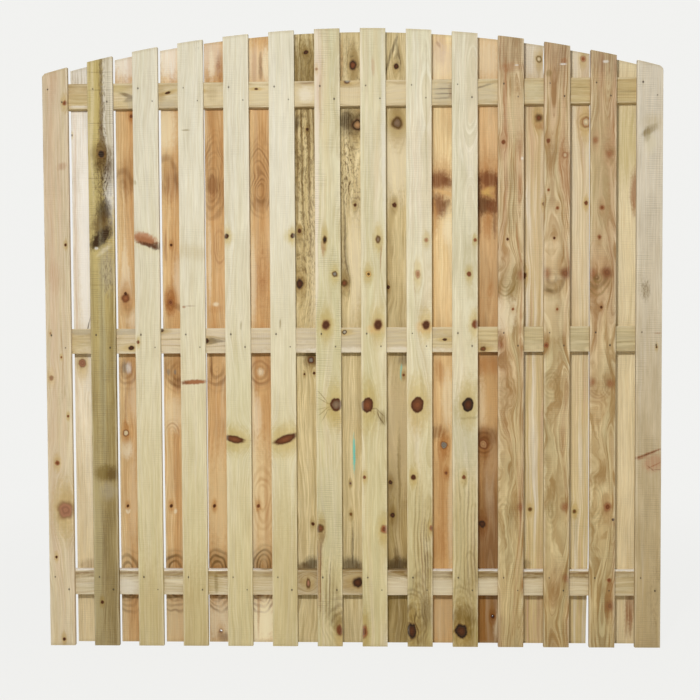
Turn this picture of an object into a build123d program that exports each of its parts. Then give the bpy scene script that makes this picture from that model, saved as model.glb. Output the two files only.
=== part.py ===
import math
import os

from build123d import *

# An arched paling fence panel, in millimetres.
# X runs along the fence, the front faces -Y, Z is up, and the origin is on the ground under the middle.

# Overall outline
panel_width = 1830.0
panel_height = 1835.0  # ground to the crown of the arch
arch_rise = 123.0  # crown of the arch above its two ends
shoulder_radius = 11.0  # rounding of the outline's two top corners

# Palings, front and back
front_paling_count = 14
paling_width = 75.0
paling_thickness = 16.0
paling_easing = 0.8  # chamfer that takes the sharp edge off each long corner
back_paling_drift = {1: 5.0, 2: 5.0, 3: 7.0, 4: 4.0, 12: -3.0, 13: 4.0}  # off the middle of its gap, along X

# Knots that have fallen out of two back palings: place from the paling's middle and from the ground, and bore
wide_knot_paling = 4
wide_knot_across = -3.0
wide_knot_up = 33.0
wide_knot_bore = 9.0
small_knot_paling = 10
small_knot_across = 18.0
small_knot_up = 81.0
small_knot_bore = 5.5

# Rails
rail_height = 75.0
rail_thickness = 32.0
rail_easing = 1.5
bottom_rail_lift = 152.0  # ground to the lower edge of the bottom rail
top_rail_drop = 26.0  # end of the arch to the upper edge of the top rail

# Nails: square brads with a chisel point, two at each crossing, driven a little below the surface
nail_section = 2.8
nail_sink = 1.0
nail_point = 5.0  # length of the chisel point
nail_cover = 8.0  # rail left uncut ahead of the point
nail_spread_across = 42.0  # from one nail of a pair to the other, along X
nail_spread_up = 38.0  # and along Z

# Worked out from the sizes above
shoulder_height = panel_height - arch_rise
panel_depth = rail_thickness + 2 * paling_thickness
paling_pitch = (panel_width - paling_width) / (front_paling_count - 1)
first_paling = -(panel_width - paling_width) / 2

top_rail_level = shoulder_height - top_rail_drop - rail_height / 2
bottom_rail_level = bottom_rail_lift + rail_height / 2
rail_levels = {
    "top_rail": top_rail_level,
    "middle_rail": (top_rail_level + bottom_rail_level) / 2,
    "bottom_rail": bottom_rail_level,
}

knot_holes = {
    wide_knot_paling: (wide_knot_across, wide_knot_up, wide_knot_bore),
    small_knot_paling: (small_knot_across, small_knot_up, small_knot_bore),
}

nail_hole_depth = paling_thickness + rail_thickness - nail_cover
nail_length = nail_hole_depth - nail_sink
front_face = -panel_depth / 2
back_face = panel_depth / 2

front_places = [first_paling + i * paling_pitch for i in range(front_paling_count)]
back_places = [
    first_paling + (i + 0.5) * paling_pitch + back_paling_drift.get(i + 1, 0.0)
    for i in range(front_paling_count - 1)
]


def outline_block():
    """The panel's front outline through its whole depth: square below, arched above, with round shoulders."""
    half = panel_width / 2
    sides = Polyline((-half, shoulder_height), (-half, 0), (half, 0), (half, shoulder_height))
    arch = ThreePointArc((half, shoulder_height), (0, panel_height), (-half, shoulder_height))
    outline = make_face(sides + arch)
    shoulders = outline.vertices().sort_by(Axis.Y)[-2:]
    outline = fillet(shoulders, shoulder_radius)
    return extrude(Plane.XZ * outline, panel_depth / 2, both=True)


def nail_pair(place, level):
    """Where the two nails of a crossing go, along X and Z: upper left and lower right as seen from the front."""
    across = nail_spread_across / 2
    up = nail_spread_up / 2
    return [(place - across, level + up), (place + across, level - up)]


def driven(shape, at, face):
    """Turns a shape that runs up from the ground so that it runs into the panel from its front or back face."""
    into = 1 if face < 0 else -1
    seat = Plane(origin=(at[0], face, at[1]), x_dir=(1, 0, 0), z_dir=(0, into, 0))
    return seat * shape


def nail():
    """One brad, head down at the origin: a square shank cut to a chisel point."""
    half = nail_section / 2
    shank = nail_length - nail_point
    side = Polyline((-half, 0), (half, 0), (half, shank), (0, nail_length), (-half, shank), close=True)
    return extrude(Plane.XZ * make_face(side), half, both=True)


def nail_hole():
    """The hole that a brad makes, from the face of the paling to where its point stops in the rail."""
    return extrude(Rectangle(nail_section, nail_section), nail_hole_depth)


def paling(place, face):
    """A sawn board on the front or back of the rails, cut off to the arch, with its nail holes."""
    middle = face - math.copysign(paling_thickness / 2, face)
    section = Rectangle(paling_width, paling_thickness)
    section = chamfer(section.vertices(), paling_easing)
    board = Pos(place, middle, 0) * extrude(section, panel_height)
    board = board & outline_block()
    holes = [
        driven(nail_hole(), at, face)
        for level in rail_levels.values()
        for at in nail_pair(place, level)
    ]
    return board - holes


def knot_hole(place, across, up, bore):
    """The round hole through a back paling where a knot has fallen out."""
    middle = back_face - paling_thickness / 2
    drill = Cylinder(bore / 2, 2 * paling_thickness)
    return Pos(place + across, middle, up) * Rot(90, 0, 0) * drill


def rail(level):
    """A batten across the whole width, with the ends of the nail holes from both sides."""
    section = Rectangle(rail_thickness, rail_height)
    section = chamfer(section.vertices(), rail_easing)
    start = Plane(origin=(-panel_width / 2, 0, level), x_dir=(0, 1, 0), z_dir=(1, 0, 0))
    batten = extrude(start * section, panel_width)
    front_holes = [
        driven(nail_hole(), at, front_face) for place in front_places for at in nail_pair(place, level)
    ]
    back_holes = [
        driven(nail_hole(), at, back_face) for place in back_places for at in nail_pair(place, level)
    ]
    return batten - (front_holes + back_holes)


def nails(places, level, face):
    """The brads that hold every paling of one side to one rail, as separate solids."""
    sunk = face - math.copysign(nail_sink, face)
    return Compound(
        [driven(nail(), at, sunk) for place in places for at in nail_pair(place, level)]
    )


nodes = {}
for number, place in enumerate(front_places, 1):
    nodes[f"front_paling_{number:02d}"] = paling(place, front_face)
for number, place in enumerate(back_places, 1):
    board = paling(place, back_face)
    if number in knot_holes:
        board -= knot_hole(place, *knot_holes[number])
    nodes[f"back_paling_{number:02d}"] = board
for name, level in rail_levels.items():
    nodes[name] = rail(level)
    nodes[f"front_nails_{name}"] = nails(front_places, level, front_face)
    nodes[f"back_nails_{name}"] = nails(back_places, level, back_face)

os.makedirs("parts", exist_ok=True)
for name, shape in nodes.items():
    export_step(shape, f"parts/{name}.step")
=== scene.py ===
import math

import bmesh
import bpy
import numpy as np
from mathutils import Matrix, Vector


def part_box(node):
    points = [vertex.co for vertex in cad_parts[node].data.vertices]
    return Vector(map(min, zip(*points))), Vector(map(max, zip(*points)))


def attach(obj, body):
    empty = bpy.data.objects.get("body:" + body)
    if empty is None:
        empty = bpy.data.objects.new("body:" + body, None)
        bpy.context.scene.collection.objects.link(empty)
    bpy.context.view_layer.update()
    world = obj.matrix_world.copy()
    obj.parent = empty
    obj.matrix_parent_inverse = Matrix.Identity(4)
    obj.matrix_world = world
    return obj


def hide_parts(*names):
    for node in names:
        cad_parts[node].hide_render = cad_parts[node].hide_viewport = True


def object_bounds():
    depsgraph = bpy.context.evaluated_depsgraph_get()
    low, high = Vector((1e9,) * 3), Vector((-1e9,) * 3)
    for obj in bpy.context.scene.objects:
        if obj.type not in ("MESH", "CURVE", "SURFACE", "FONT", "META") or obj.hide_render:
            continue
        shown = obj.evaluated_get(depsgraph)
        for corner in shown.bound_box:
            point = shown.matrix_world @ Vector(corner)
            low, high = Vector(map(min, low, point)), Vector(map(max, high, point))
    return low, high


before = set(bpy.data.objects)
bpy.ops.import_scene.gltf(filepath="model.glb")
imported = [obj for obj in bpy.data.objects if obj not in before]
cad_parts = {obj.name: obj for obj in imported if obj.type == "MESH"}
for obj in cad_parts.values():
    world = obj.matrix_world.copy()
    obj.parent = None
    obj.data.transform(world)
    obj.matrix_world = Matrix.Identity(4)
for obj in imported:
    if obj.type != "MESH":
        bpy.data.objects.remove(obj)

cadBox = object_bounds()
mm = 1000.0  # millimetres in a metre
print("frame loaded:", len(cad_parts), "nodes")

# tones of the timber, as they look in daylight, 0 to 255
tones = {
    "paleCream": (221, 215, 194), "greenCream": (213, 205, 174), "mossCream": (200, 194, 150),
    "straw": (216, 202, 156), "honey": (222, 208, 160), "pinkTan": (212, 195, 166),
    "pinkTanLow": (224, 208, 176), "pinkStreak": (206, 172, 142), "yellowOlive": (197, 179, 120),
    "greyWhite": (224, 219, 208), "oliveGrey": (170, 153, 112), "oliveDark": (124, 102, 50),
    "mould": (60, 42, 22), "mouldBrown": (92, 66, 30), "pinkBrown": (214, 191, 153),
    "pinkBrownLow": (212, 191, 142), "redStreak": (156, 104, 64), "greyPink": (216, 206, 186),
    "greyPinkLow": (188, 166, 122), "greyGreen": (188, 182, 148), "sapWhite": (250, 246, 238),
    "sapCream": (240, 228, 198), "creamLow": (240, 222, 180), "orangeTan": (230, 202, 152),
    "orangePale": (222, 190, 142), "orangeHeart": (214, 176, 124), "orangeDeep": (178, 124, 70),
    "amber": (240, 220, 172), "amberLow": (220, 180, 122), "brownHeart": (158, 112, 60),
    "brownLow": (156, 112, 58), "burntBrown": (110, 68, 34), "oliveSap": (226, 209, 164),
    "oliveSapLow": (230, 213, 166), "oliveTan": (182, 158, 104), "oliveLow": (160, 134, 74),
    "yellowCream": (238, 224, 188), "sandTan": (220, 200, 160), "sandCream": (234, 219, 186),
    "sandLow": (228, 208, 156), "whiteStreak": (240, 233, 218), "railOlive": (208, 189, 144),
    "railPale": (222, 209, 178), "railBrown": (158, 132, 84), "railGrey": (176, 165, 142),
    "redKnot": (152, 96, 58), "brownKnot": (120, 70, 40), "darkKnot": (84, 48, 26),
    "blackKnot": (48, 34, 22), "greyKnot": (130, 122, 108), "tanKnot": (172, 130, 86),
    "yellowKnot": (208, 168, 98), "redSmear": (180, 134, 100), "turquoise": (104, 200, 186),
    # the resin tone is a painted highlight: near-white spots that stand for glints of light on beads of
    # resin
    "paintedResinGlint": (234, 230, 222), "nailStain": (62, 50, 38), "dullKnot": (128, 104, 80),
    "rustKnot": (160, 112, 84), "mossTan": (188, 174, 130), "fadedRed": (178, 134, 98),
    "paleGreen": (224, 218, 194), "warmCream": (255, 243, 206), "pinkWhite": (228, 214, 194),
    "railLow": (216, 199, 156),
}


def tone(name):  # a tone as the linear colour that a shader takes
    shares = [level / 255 for level in tones[name]]
    linear = [share / 12.92 if share <= 0.04045 else ((share + 0.055) / 1.055) ** 2.4 for share in shares]
    return (*linear, 1.0)


# short ways to add nodes: a value may be a number, a colour or another node's socket

def addNode(tree, kind, values=None, **settings):
    node = tree.nodes.new(kind)
    for key, value in settings.items():
        setattr(node, key, value)
    for key, value in (values or {}).items():
        if isinstance(value, bpy.types.NodeSocket):
            tree.links.new(value, node.inputs[key])
        else:
            node.inputs[key].default_value = value
    return node


def placeGroup(tree, group, values):
    return addNode(tree, "ShaderNodeGroup", values, node_tree=group).outputs


def calc(tree, operation, *values, clamp=False):
    node = addNode(tree, "ShaderNodeMath", dict(enumerate(values)), operation=operation, use_clamp=clamp)
    return node.outputs[0]


def vectorCalc(tree, operation, *values):
    node = addNode(tree, "ShaderNodeVectorMath", dict(enumerate(values)), operation=operation)
    return node.outputs["Vector"]


def scaled(tree, vector, factor):
    node = addNode(tree, "ShaderNodeVectorMath", {0: vector, "Scale": factor}, operation="SCALE")
    return node.outputs["Vector"]


def stretched(tree, vector, scales):
    return vectorCalc(tree, "MULTIPLY", vector, scales)


def parts(tree, vector):
    return addNode(tree, "ShaderNodeSeparateXYZ", {0: vector}).outputs


def joined(tree, x, y, z):
    return addNode(tree, "ShaderNodeCombineXYZ", {0: x, 1: y, 2: z}).outputs[0]


def distance(tree, a, b):
    return calc(tree, "SQRT", calc(tree, "MULTIPLY_ADD", a, a, calc(tree, "MULTIPLY", b, b)))


def fade(tree, value, start, end, low=0.0, high=1.0):  # smooth step from low at start to high at end
    values = {"Value": value, "From Min": start, "From Max": end, "To Min": low, "To Max": high}
    return addNode(tree, "ShaderNodeMapRange", values, interpolation_type="SMOOTHSTEP").outputs["Result"]


def noise(tree, vector, scale, detail=2.0, roughness=0.5):
    values = {"Vector": vector, "Scale": scale, "Detail": detail, "Roughness": roughness}
    return addNode(tree, "ShaderNodeTexNoise", values).outputs["Fac"]


def centred(tree, value):  # a noise about 0
    return calc(tree, "SUBTRACT", value, 0.5)


def ownValue(tree, number):  # a random value for each whole number
    return addNode(tree, "ShaderNodeTexWhiteNoise", {"W": number}, noise_dimensions="1D").outputs["Value"]


def mixColour(tree, factor, a, b, blend="MIX"):
    node = addNode(tree, "ShaderNodeMix", {0: factor, 6: a, 7: b}, data_type="RGBA", blend_type=blend)
    return node.outputs[2]


def tinted(tree, factor, colour, tint):  # a share of the colour multiplied by a tint
    return mixColour(tree, factor, colour, mixColour(tree, 1.0, colour, tint, "MULTIPLY"))


def newMaterial(name):
    material = bpy.data.materials.new(name)
    material.use_nodes = True
    return material, material.node_tree


def newGroup(name, inputs, outputs):
    kinds = {"value": "NodeSocketFloat", "vector": "NodeSocketVector", "colour": "NodeSocketColor"}
    group = bpy.data.node_groups.new(name, "ShaderNodeTree")
    for side, sockets in (("INPUT", inputs), ("OUTPUT", outputs)):
        for label, kind in sockets.items():
            group.interface.new_socket(name=label, in_out=side, socket_type=kinds[kind])
    return group, group.nodes.new("NodeGroupInput").outputs, group.nodes.new("NodeGroupOutput").inputs


def ovalDistance(group, put):  # how far a place is from an oval's middle, 1 at its rim, across and up
    offset = vectorCalc(group, "SUBTRACT", put["Place"], put["Centre"])
    values = {"Vector": offset, "Angle": put["Slant"]}
    turned = addNode(group, "ShaderNodeVectorRotate", values, rotation_type="Y_AXIS").outputs[0]
    split = parts(group, turned)
    side = calc(group, "DIVIDE", split["X"], put["Half Width"])
    return side, calc(group, "DIVIDE", split["Z"], put["Half Height"])


def insideRim(group, rim, soft):  # 1 inside an oval, fading out over its rim
    return fade(group, rim, calc(group, "ADD", 1.0, soft), calc(group, "SUBTRACT", 1.0, soft))


knotForm = {
    "middle": 0.05, "seedStep": 0.37, "lumps": 0.9, "lumpDepth": 0.6, "leastRim": 0.72, "ragged": 0.4,
    "bendAcross": 0.7, "bendUp": 0.3, "bend": -0.85,  # how the grain goes round it
    "tailAcross": 0.5, "tailUp": 0.24, "tailRagged": 0.9, "tailFade": (1.3, 0.3), "collarFade": (2.3, 1.0),
    "rings": 12.0, "ringDepth": 0.14, "ringLevel": 0.95, "heartFade": 0.4,
}


def makeKnotGroup():  # one knot: bends the grain round it and adds itself to the knots before it
    form = knotForm
    group, put, out = newGroup("Knot", {
        "Place": "vector", "Ragged": "value", "Across": "value", "Halo": "value", "Mask": "value",
        "Colour": "colour", "Centre": "vector", "Half Width": "value", "Half Height": "value",
        "Slant": "value", "Tone": "colour", "Heart": "colour", "Heart Edge": "value",
        "Strength": "value", "Push": "value", "Soft": "value"},
        {"Across": "value", "Halo": "value", "Mask": "value", "Colour": "colour"})
    side, up = ovalDistance(group, put)
    away = calc(group, "MAXIMUM", distance(group, side, up), form["middle"])
    centre = parts(group, put["Centre"])
    headingX = calc(group, "DIVIDE", side, away)
    own = calc(group, "MULTIPLY", centre["Z"], form["seedStep"])  # no two knots are round
    heading = joined(group, headingX, own, calc(group, "DIVIDE", up, away))
    lumps = noise(group, heading, form["lumps"], 1.0, 0.5)
    uneven = calc(group, "MULTIPLY_ADD", lumps, form["lumpDepth"], form["leastRim"])
    rim = calc(group, "MULTIPLY", away, uneven)
    rim = calc(group, "MULTIPLY_ADD", put["Ragged"], form["ragged"], rim)
    mask = calc(group, "MULTIPLY", insideRim(group, rim, put["Soft"]), put["Strength"])

    bendX = calc(group, "MULTIPLY", side, form["bendAcross"])
    wide = distance(group, bendX, calc(group, "MULTIPLY", up, form["bendUp"]))
    square = calc(group, "MAXIMUM", calc(group, "MULTIPLY", wide, wide), 1.0)
    near = calc(group, "DIVIDE", put["Push"], square)
    shift = calc(group, "SUBTRACT", put["Across"], centre["X"])
    push = calc(group, "MULTIPLY", calc(group, "MULTIPLY", shift, near), form["bend"])
    group.links.new(calc(group, "ADD", put["Across"], push), out["Across"])

    tailX = calc(group, "MULTIPLY", side, form["tailAcross"])
    tail = distance(group, tailX, calc(group, "MULTIPLY", up, form["tailUp"]))
    tail = calc(group, "MULTIPLY_ADD", put["Ragged"], form["tailRagged"], tail)
    tail = fade(group, tail, *form["tailFade"])
    collar = calc(group, "MAXIMUM", tail, fade(group, rim, *form["collarFade"]))
    halo = calc(group, "MULTIPLY", collar, put["Strength"])
    group.links.new(calc(group, "MAXIMUM", put["Halo"], halo), out["Halo"])
    group.links.new(calc(group, "MAXIMUM", put["Mask"], mask), out["Mask"])

    wave = calc(group, "SINE", calc(group, "MULTIPLY", rim, form["rings"]))
    rings = calc(group, "MULTIPLY_ADD", wave, form["ringDepth"], form["ringLevel"])
    inner = calc(group, "SUBTRACT", put["Heart Edge"], form["heartFade"])
    colour = mixColour(group, fade(group, rim, put["Heart Edge"], inner), put["Tone"], put["Heart"])
    group.links.new(mixColour(group, mask, put["Colour"], scaled(group, colour, rings)), out["Colour"])
    return group


stainForm = {"ragged": 1.2}


def makeStainGroup():  # a soft-edged patch of another tone, broken up along the grain
    group, put, out = newGroup("Stain", {
        "Place": "vector", "Ragged": "value", "Streak": "value", "Fleck": "value", "Colour": "colour",
        "Centre": "vector", "Half Width": "value", "Half Height": "value", "Slant": "value",
        "Soft": "value", "Streaky": "value", "Flecked": "value", "Tone": "colour", "Strength": "value"},
        {"Colour": "colour"})
    side, up = ovalDistance(group, put)
    rim = calc(group, "MULTIPLY_ADD", put["Ragged"], stainForm["ragged"], distance(group, side, up))
    streaks = calc(group, "MULTIPLY", put["Streaky"], -1.0)
    broken = calc(group, "MULTIPLY_ADD", put["Streak"], streaks, 1.0)
    flecks = calc(group, "MULTIPLY_ADD", calc(group, "SUBTRACT", put["Fleck"], 1.0), put["Flecked"], 1.0)
    patch = calc(group, "MULTIPLY", insideRim(group, rim, put["Soft"]), put["Strength"])
    mask = calc(group, "MULTIPLY", patch, calc(group, "MULTIPLY", broken, flecks))
    group.links.new(mixColour(group, mask, put["Colour"], put["Tone"]), out["Colour"])
    return group


archForm = {
    "bend": 0.6, "outerFade": (1.25, 0.7), "innerFade": (0.05, 0.2), "legFade": (-0.6, 0.15),
    "seedStep": 0.37, "seedStart": 0.25, "varies": 0.7, "least": 0.4,  # no two rings are equally dark
    "breakFade": (-0.22, 0.08), "broken": 0.3, "lineFade": (-0.8, 1.0), "between": 0.15,
}


def makeArchGroup():  # arched growth rings, as where the saw has run through a bend of the grain
    form = archForm
    group, put, out = newGroup("Arches", {
        "Place": "vector", "Bend": "value", "Colour": "colour", "Centre": "vector", "Half Width": "value",
        "Half Height": "value", "Slant": "value", "Turn": "value", "Lines": "value", "Tone": "colour",
        "Strength": "value"}, {"Colour": "colour"})
    side, up = ovalDistance(group, put)
    away = calc(group, "MULTIPLY_ADD", put["Bend"], form["bend"], distance(group, side, up))
    turns = calc(group, "MULTIPLY", away, put["Lines"])
    wave = calc(group, "SINE", calc(group, "MULTIPLY", turns, 2 * math.pi))
    outer = fade(group, away, *form["outerFade"])
    body = calc(group, "MULTIPLY", outer, fade(group, away, *form["innerFade"]))
    reach = calc(group, "MULTIPLY", up, put["Turn"])  # turn 1 arches up, -1 down, 0 is whole rings
    legs = fade(group, reach, *form["legFade"])
    mask = calc(group, "MULTIPLY", calc(group, "MULTIPLY", body, legs), put["Strength"])
    height = parts(group, put["Centre"])["Z"]
    first = calc(group, "MULTIPLY_ADD", height, form["seedStep"], form["seedStart"])
    ring = calc(group, "FLOOR", calc(group, "MULTIPLY_ADD", away, put["Lines"], first))
    each = ownValue(group, ring)
    whole = fade(group, put["Bend"], *form["breakFade"], form["broken"], 1.0)
    each = calc(group, "MULTIPLY_ADD", each, form["varies"], form["least"])
    broken = calc(group, "MULTIPLY", whole, each)
    drawn = calc(group, "MULTIPLY", mask, broken)
    drawn = calc(group, "MULTIPLY", drawn, fade(group, wave, *form["lineFade"], form["between"], 1.0))
    group.links.new(mixColour(group, drawn, put["Colour"], put["Tone"]), out["Colour"])
    return group


grainScale = {  # how quickly each figure changes across, in depth and along the board, per mm
    "swing": (0.004, 0.004, 0.0026), "wiggle": (0.014, 0.014, 0.011), "drift": (0.0, 0.0, 0.0007),
    "fibre": (0.75, 0.75, 0.012), "cloud": (0.03, 0.03, 0.0075), "along": 0.02,
    "fine": (0.34, 0.34, 1.0), "fleck": (0.26, 3.4, 1.0), "band": (0.085, 0.09, 1.0),  # over the rings
}
grainForm = {
    "wobble": 0.9, "lineRise": (0.15, 0.88), "lineFall": (1.0, 0.88), "varies": 0.8, "least": 0.2,
    "streakFade": (0.34, 0.64), "fleckFade": (0.46, 0.62), "bandGain": 4.0,
}


def makeGrainGroup():  # growth rings cut by the saw, with fibres along the board
    form, scale = grainForm, grainScale
    group, put, out = newGroup("Sawn Grain", {
        "Place": "vector", "Seeded": "vector", "Across": "value", "Pith Across": "value",
        "Pith Depth": "value", "Ring Width": "value", "Wander": "value", "Wiggle": "value"},
        {"Late": "value", "Radius": "value", "Fibre": "value", "Streak": "value", "Fleck": "value",
         "Band": "value", "Cloud": "value", "Flow": "vector"})
    place, seeded = parts(group, put["Place"]), parts(group, put["Seeded"])
    slow = noise(group, stretched(group, put["Seeded"], scale["swing"]), 1.0, 2.5, 0.45)
    swing = calc(group, "MULTIPLY", centred(group, slow), put["Wander"])
    quick = noise(group, stretched(group, put["Seeded"], scale["wiggle"]), 1.0, 3.0, 0.5)
    wiggle = calc(group, "MULTIPLY", centred(group, quick), put["Wiggle"])
    bent = calc(group, "ADD", put["Across"], wiggle)
    group.links.new(joined(group, bent, 0.0, place["Z"]), out["Flow"])
    across = calc(group, "SUBTRACT", calc(group, "ADD", bent, swing), put["Pith Across"])
    depth = calc(group, "ADD", calc(group, "ADD", place["Y"], put["Pith Depth"]), swing)
    radius = distance(group, across, depth)

    # what follows the rings bends round the knots
    grown = joined(group, radius, calc(group, "MULTIPLY", seeded["Z"], scale["along"]), 0.0)
    grown = vectorCalc(group, "ADD", grown, stretched(group, put["Seeded"], scale["drift"]))
    fine = stretched(group, grown, scale["fine"])
    wobble = centred(group, noise(group, fine, 0.5, 2.0))
    phase = calc(group, "DIVIDE", radius, put["Ring Width"])
    phase = calc(group, "ADD", phase, calc(group, "MULTIPLY", wobble, form["wobble"]))
    turn = calc(group, "FRACT", phase)
    rise = fade(group, turn, *form["lineRise"])
    line = calc(group, "MULTIPLY", rise, fade(group, turn, *form["lineFall"]))
    each = ownValue(group, calc(group, "FLOOR", phase))
    each = calc(group, "MULTIPLY_ADD", each, form["varies"], form["least"])
    group.links.new(calc(group, "MULTIPLY", line, each), out["Late"])
    group.links.new(radius, out["Radius"])
    fibres = stretched(group, put["Seeded"], scale["fibre"])
    group.links.new(noise(group, fibres, 1.0, 4.0, 0.65), out["Fibre"])
    group.links.new(fade(group, noise(group, fine, 1.0, 4.0, 0.62), *form["streakFade"]), out["Streak"])
    flecks = noise(group, stretched(group, grown, scale["fleck"]), 1.0, 4.0, 0.65)
    group.links.new(fade(group, flecks, *form["fleckFade"]), out["Fleck"])
    band = noise(group, stretched(group, grown, scale["band"]), 1.0, 2.0)
    group.links.new(calc(group, "MULTIPLY", centred(group, band), form["bandGain"]), out["Band"])
    cloud = stretched(group, put["Seeded"], scale["cloud"])
    group.links.new(noise(group, cloud, 1.0, 4.0, 0.58), out["Cloud"])
    return group


sawForm = {
    "patch": (0.02, 0.02, 0.011), "jitter": (0.008, 0.008, 0.11),  # per mm
    "lean": 0.02, "jitterBy": 9.0, "markFade": (0.1, 0.95), "patchFade": (0.42, 0.66),
}


def makeSawGroup():  # faint marks that the band saw leaves across the board, stronger in places
    form = sawForm
    inputs = {"Place": "vector", "Seeded": "vector", "Pitch": "value"}
    group, put, out = newGroup("Saw Marks", inputs, {"Mark": "value"})
    place = parts(group, put["Place"])
    patch = noise(group, stretched(group, put["Seeded"], form["patch"]), 1.0, 2.0)
    jitter = noise(group, stretched(group, put["Seeded"], form["jitter"]), 1.0, 2.0)
    along = calc(group, "MULTIPLY_ADD", place["X"], form["lean"], place["Z"])
    along = calc(group, "ADD", along, calc(group, "MULTIPLY", jitter, form["jitterBy"]))
    turns = calc(group, "DIVIDE", along, put["Pitch"])
    wave = calc(group, "SINE", calc(group, "MULTIPLY", turns, 2 * math.pi))
    mark = fade(group, wave, *form["markFade"])
    mark = calc(group, "MULTIPLY", mark, fade(group, patch, *form["patchFade"]))
    group.links.new(mark, out["Mark"])
    return group


nailMark = {  # half sizes across and up in mm, and how they fade
    "spot": (2.8, 3.6), "tail": (2.6, 20.0), "ragged": 0.8, "spotFade": (1.3, 0.5), "tailFade": (1.0, 0.2),
    "faintest": 0.15, "faceFrom": 4.0,
}


def makeNailStainGroup():  # dark bruise and iron stain round each nail, some fainter than others
    mark = nailMark
    group, put, out = newGroup("Nail Stain", {
        "Place": "vector", "Ragged": "value", "First Rail": "value", "Rail Step": "value",
        "Out Across": "value", "Out Up": "value", "Face": "value", "Seed": "value"},
        {"Stain": "value", "Streak": "value"})
    place = parts(group, put["Place"])
    above = calc(group, "SUBTRACT", place["Z"], put["First Rail"])
    half = calc(group, "MULTIPLY", put["Rail Step"], 0.5)
    up = calc(group, "WRAP", above, half, calc(group, "MULTIPLY", half, -1.0))
    turn = calc(group, "SIGN", place["X"])  # the lower right nail folds onto the upper left one
    side = calc(group, "SUBTRACT", calc(group, "ABSOLUTE", place["X"]), put["Out Across"])
    rise = calc(group, "ADD", up, calc(group, "MULTIPLY", put["Out Up"], turn))
    rise = calc(group, "MULTIPLY", rise, turn)
    railNumber = calc(group, "ROUND", calc(group, "DIVIDE", above, put["Rail Step"]))
    which = joined(group, turn, railNumber, put["Seed"])
    each = addNode(group, "ShaderNodeTexWhiteNoise", {"Vector": which}).outputs["Value"]
    each = fade(group, each, 0.0, 1.0, mark["faintest"], 1.0)
    onFace = calc(group, "MULTIPLY", place["Y"], put["Face"])
    onFace = calc(group, "MULTIPLY", calc(group, "GREATER_THAN", onFace, mark["faceFrom"]), each)

    def away(size):
        return distance(group, calc(group, "DIVIDE", side, size[0]), calc(group, "DIVIDE", rise, size[1]))

    spot = calc(group, "MULTIPLY_ADD", put["Ragged"], mark["ragged"], away(mark["spot"]))
    tail = away(mark["tail"])
    group.links.new(calc(group, "MULTIPLY", fade(group, spot, *mark["spotFade"]), onFace), out["Stain"])
    group.links.new(calc(group, "MULTIPLY", fade(group, tail, *mark["tailFade"]), onFace), out["Streak"])
    return group


knotGroup, stainGroup, archGroup = makeKnotGroup(), makeStainGroup(), makeArchGroup()
grainGroup, sawGroup, nailStainGroup = makeGrainGroup(), makeSawGroup(), makeNailStainGroup()
print("wood node groups made")

# what every board, knot and stain is like unless its own dictionary says otherwise: sizes in mm
plainTimber = {
    "upper": "greenCream", "lower": "straw", "heart": None, "heartEdge": 30.0, "heartSoft": 6.0,
    "bands": ("greyWhite", "mossCream"), "band": 0.2, "lines": 0.4, "lateTint": (0.70, 0.60, 0.42, 1.0),
    "pith": (-120.0, 50.0), "ringWidth": 5.0, "wander": 40.0, "wiggle": 7.0, "contrast": 0.3,
    "cloud": 0.14, "fibre": 0.24, "saw": 0.07, "sawPitch": 6.3, "halo": 0.75,
    "haloTint": (0.82, 0.70, 0.42, 1.0), "nailStain": 0.8, "knots": [], "stains": [], "arches": [],
    "length": 1835.0,
}
plainKnot = {"tall": 1.15, "slant": 0.0, "strength": 1.0, "push": 1.0, "soft": 0.35, "edge": 0.75}
plainStain = {"slant": 0.0, "soft": 0.55, "streaky": 0.4, "flecked": 0.0}
darkKinds = ("darkKnot", "blackKnot", "mould")  # knots with a dark heart
timberFinish = {  # what all boards share
    "seedSteps": (317.0, 131.0, 743.0), "ragged": (0.13, 0.13, 0.08), "bend": (0.022, 0.022, 0.016),
    "fadeCloud": 500.0, "fadeFrom": 0.03, "fadeTo": 0.88, "heartCloud": 12.0,
    "sawTone": (0.16, 0.12, 0.07, 1.0), "nailStreak": 0.3, "edgeWear": 0.35,
    "grime": 0.3, "grimeReach": 11.0, "grimeRagged": 9.0,
    "rough": 0.60, "fibreRough": 0.22, "knotRough": -0.08, "specular": 0.1,
    "lateRelief": 0.35, "fibreRelief": 0.8, "sawRelief": -0.5, "bump": 0.45, "bumpDepth": 0.0006,
}
railNames = ("bottom_rail", "middle_rail", "top_rail")
railLevels = {name: sum(c.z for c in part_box(name)) / 2 * mm for name in railNames}
railStep = railLevels["middle_rail"] - railLevels["bottom_rail"]
nails = {
    "across": 21.0, "up": 19.0, "half": 1.4, "sink": 1.0, "length": 39.0, "point": 5.0,
    "bevel": 0.45, "bevelDepth": 0.4, "tipHalf": 0.02,
}


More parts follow.
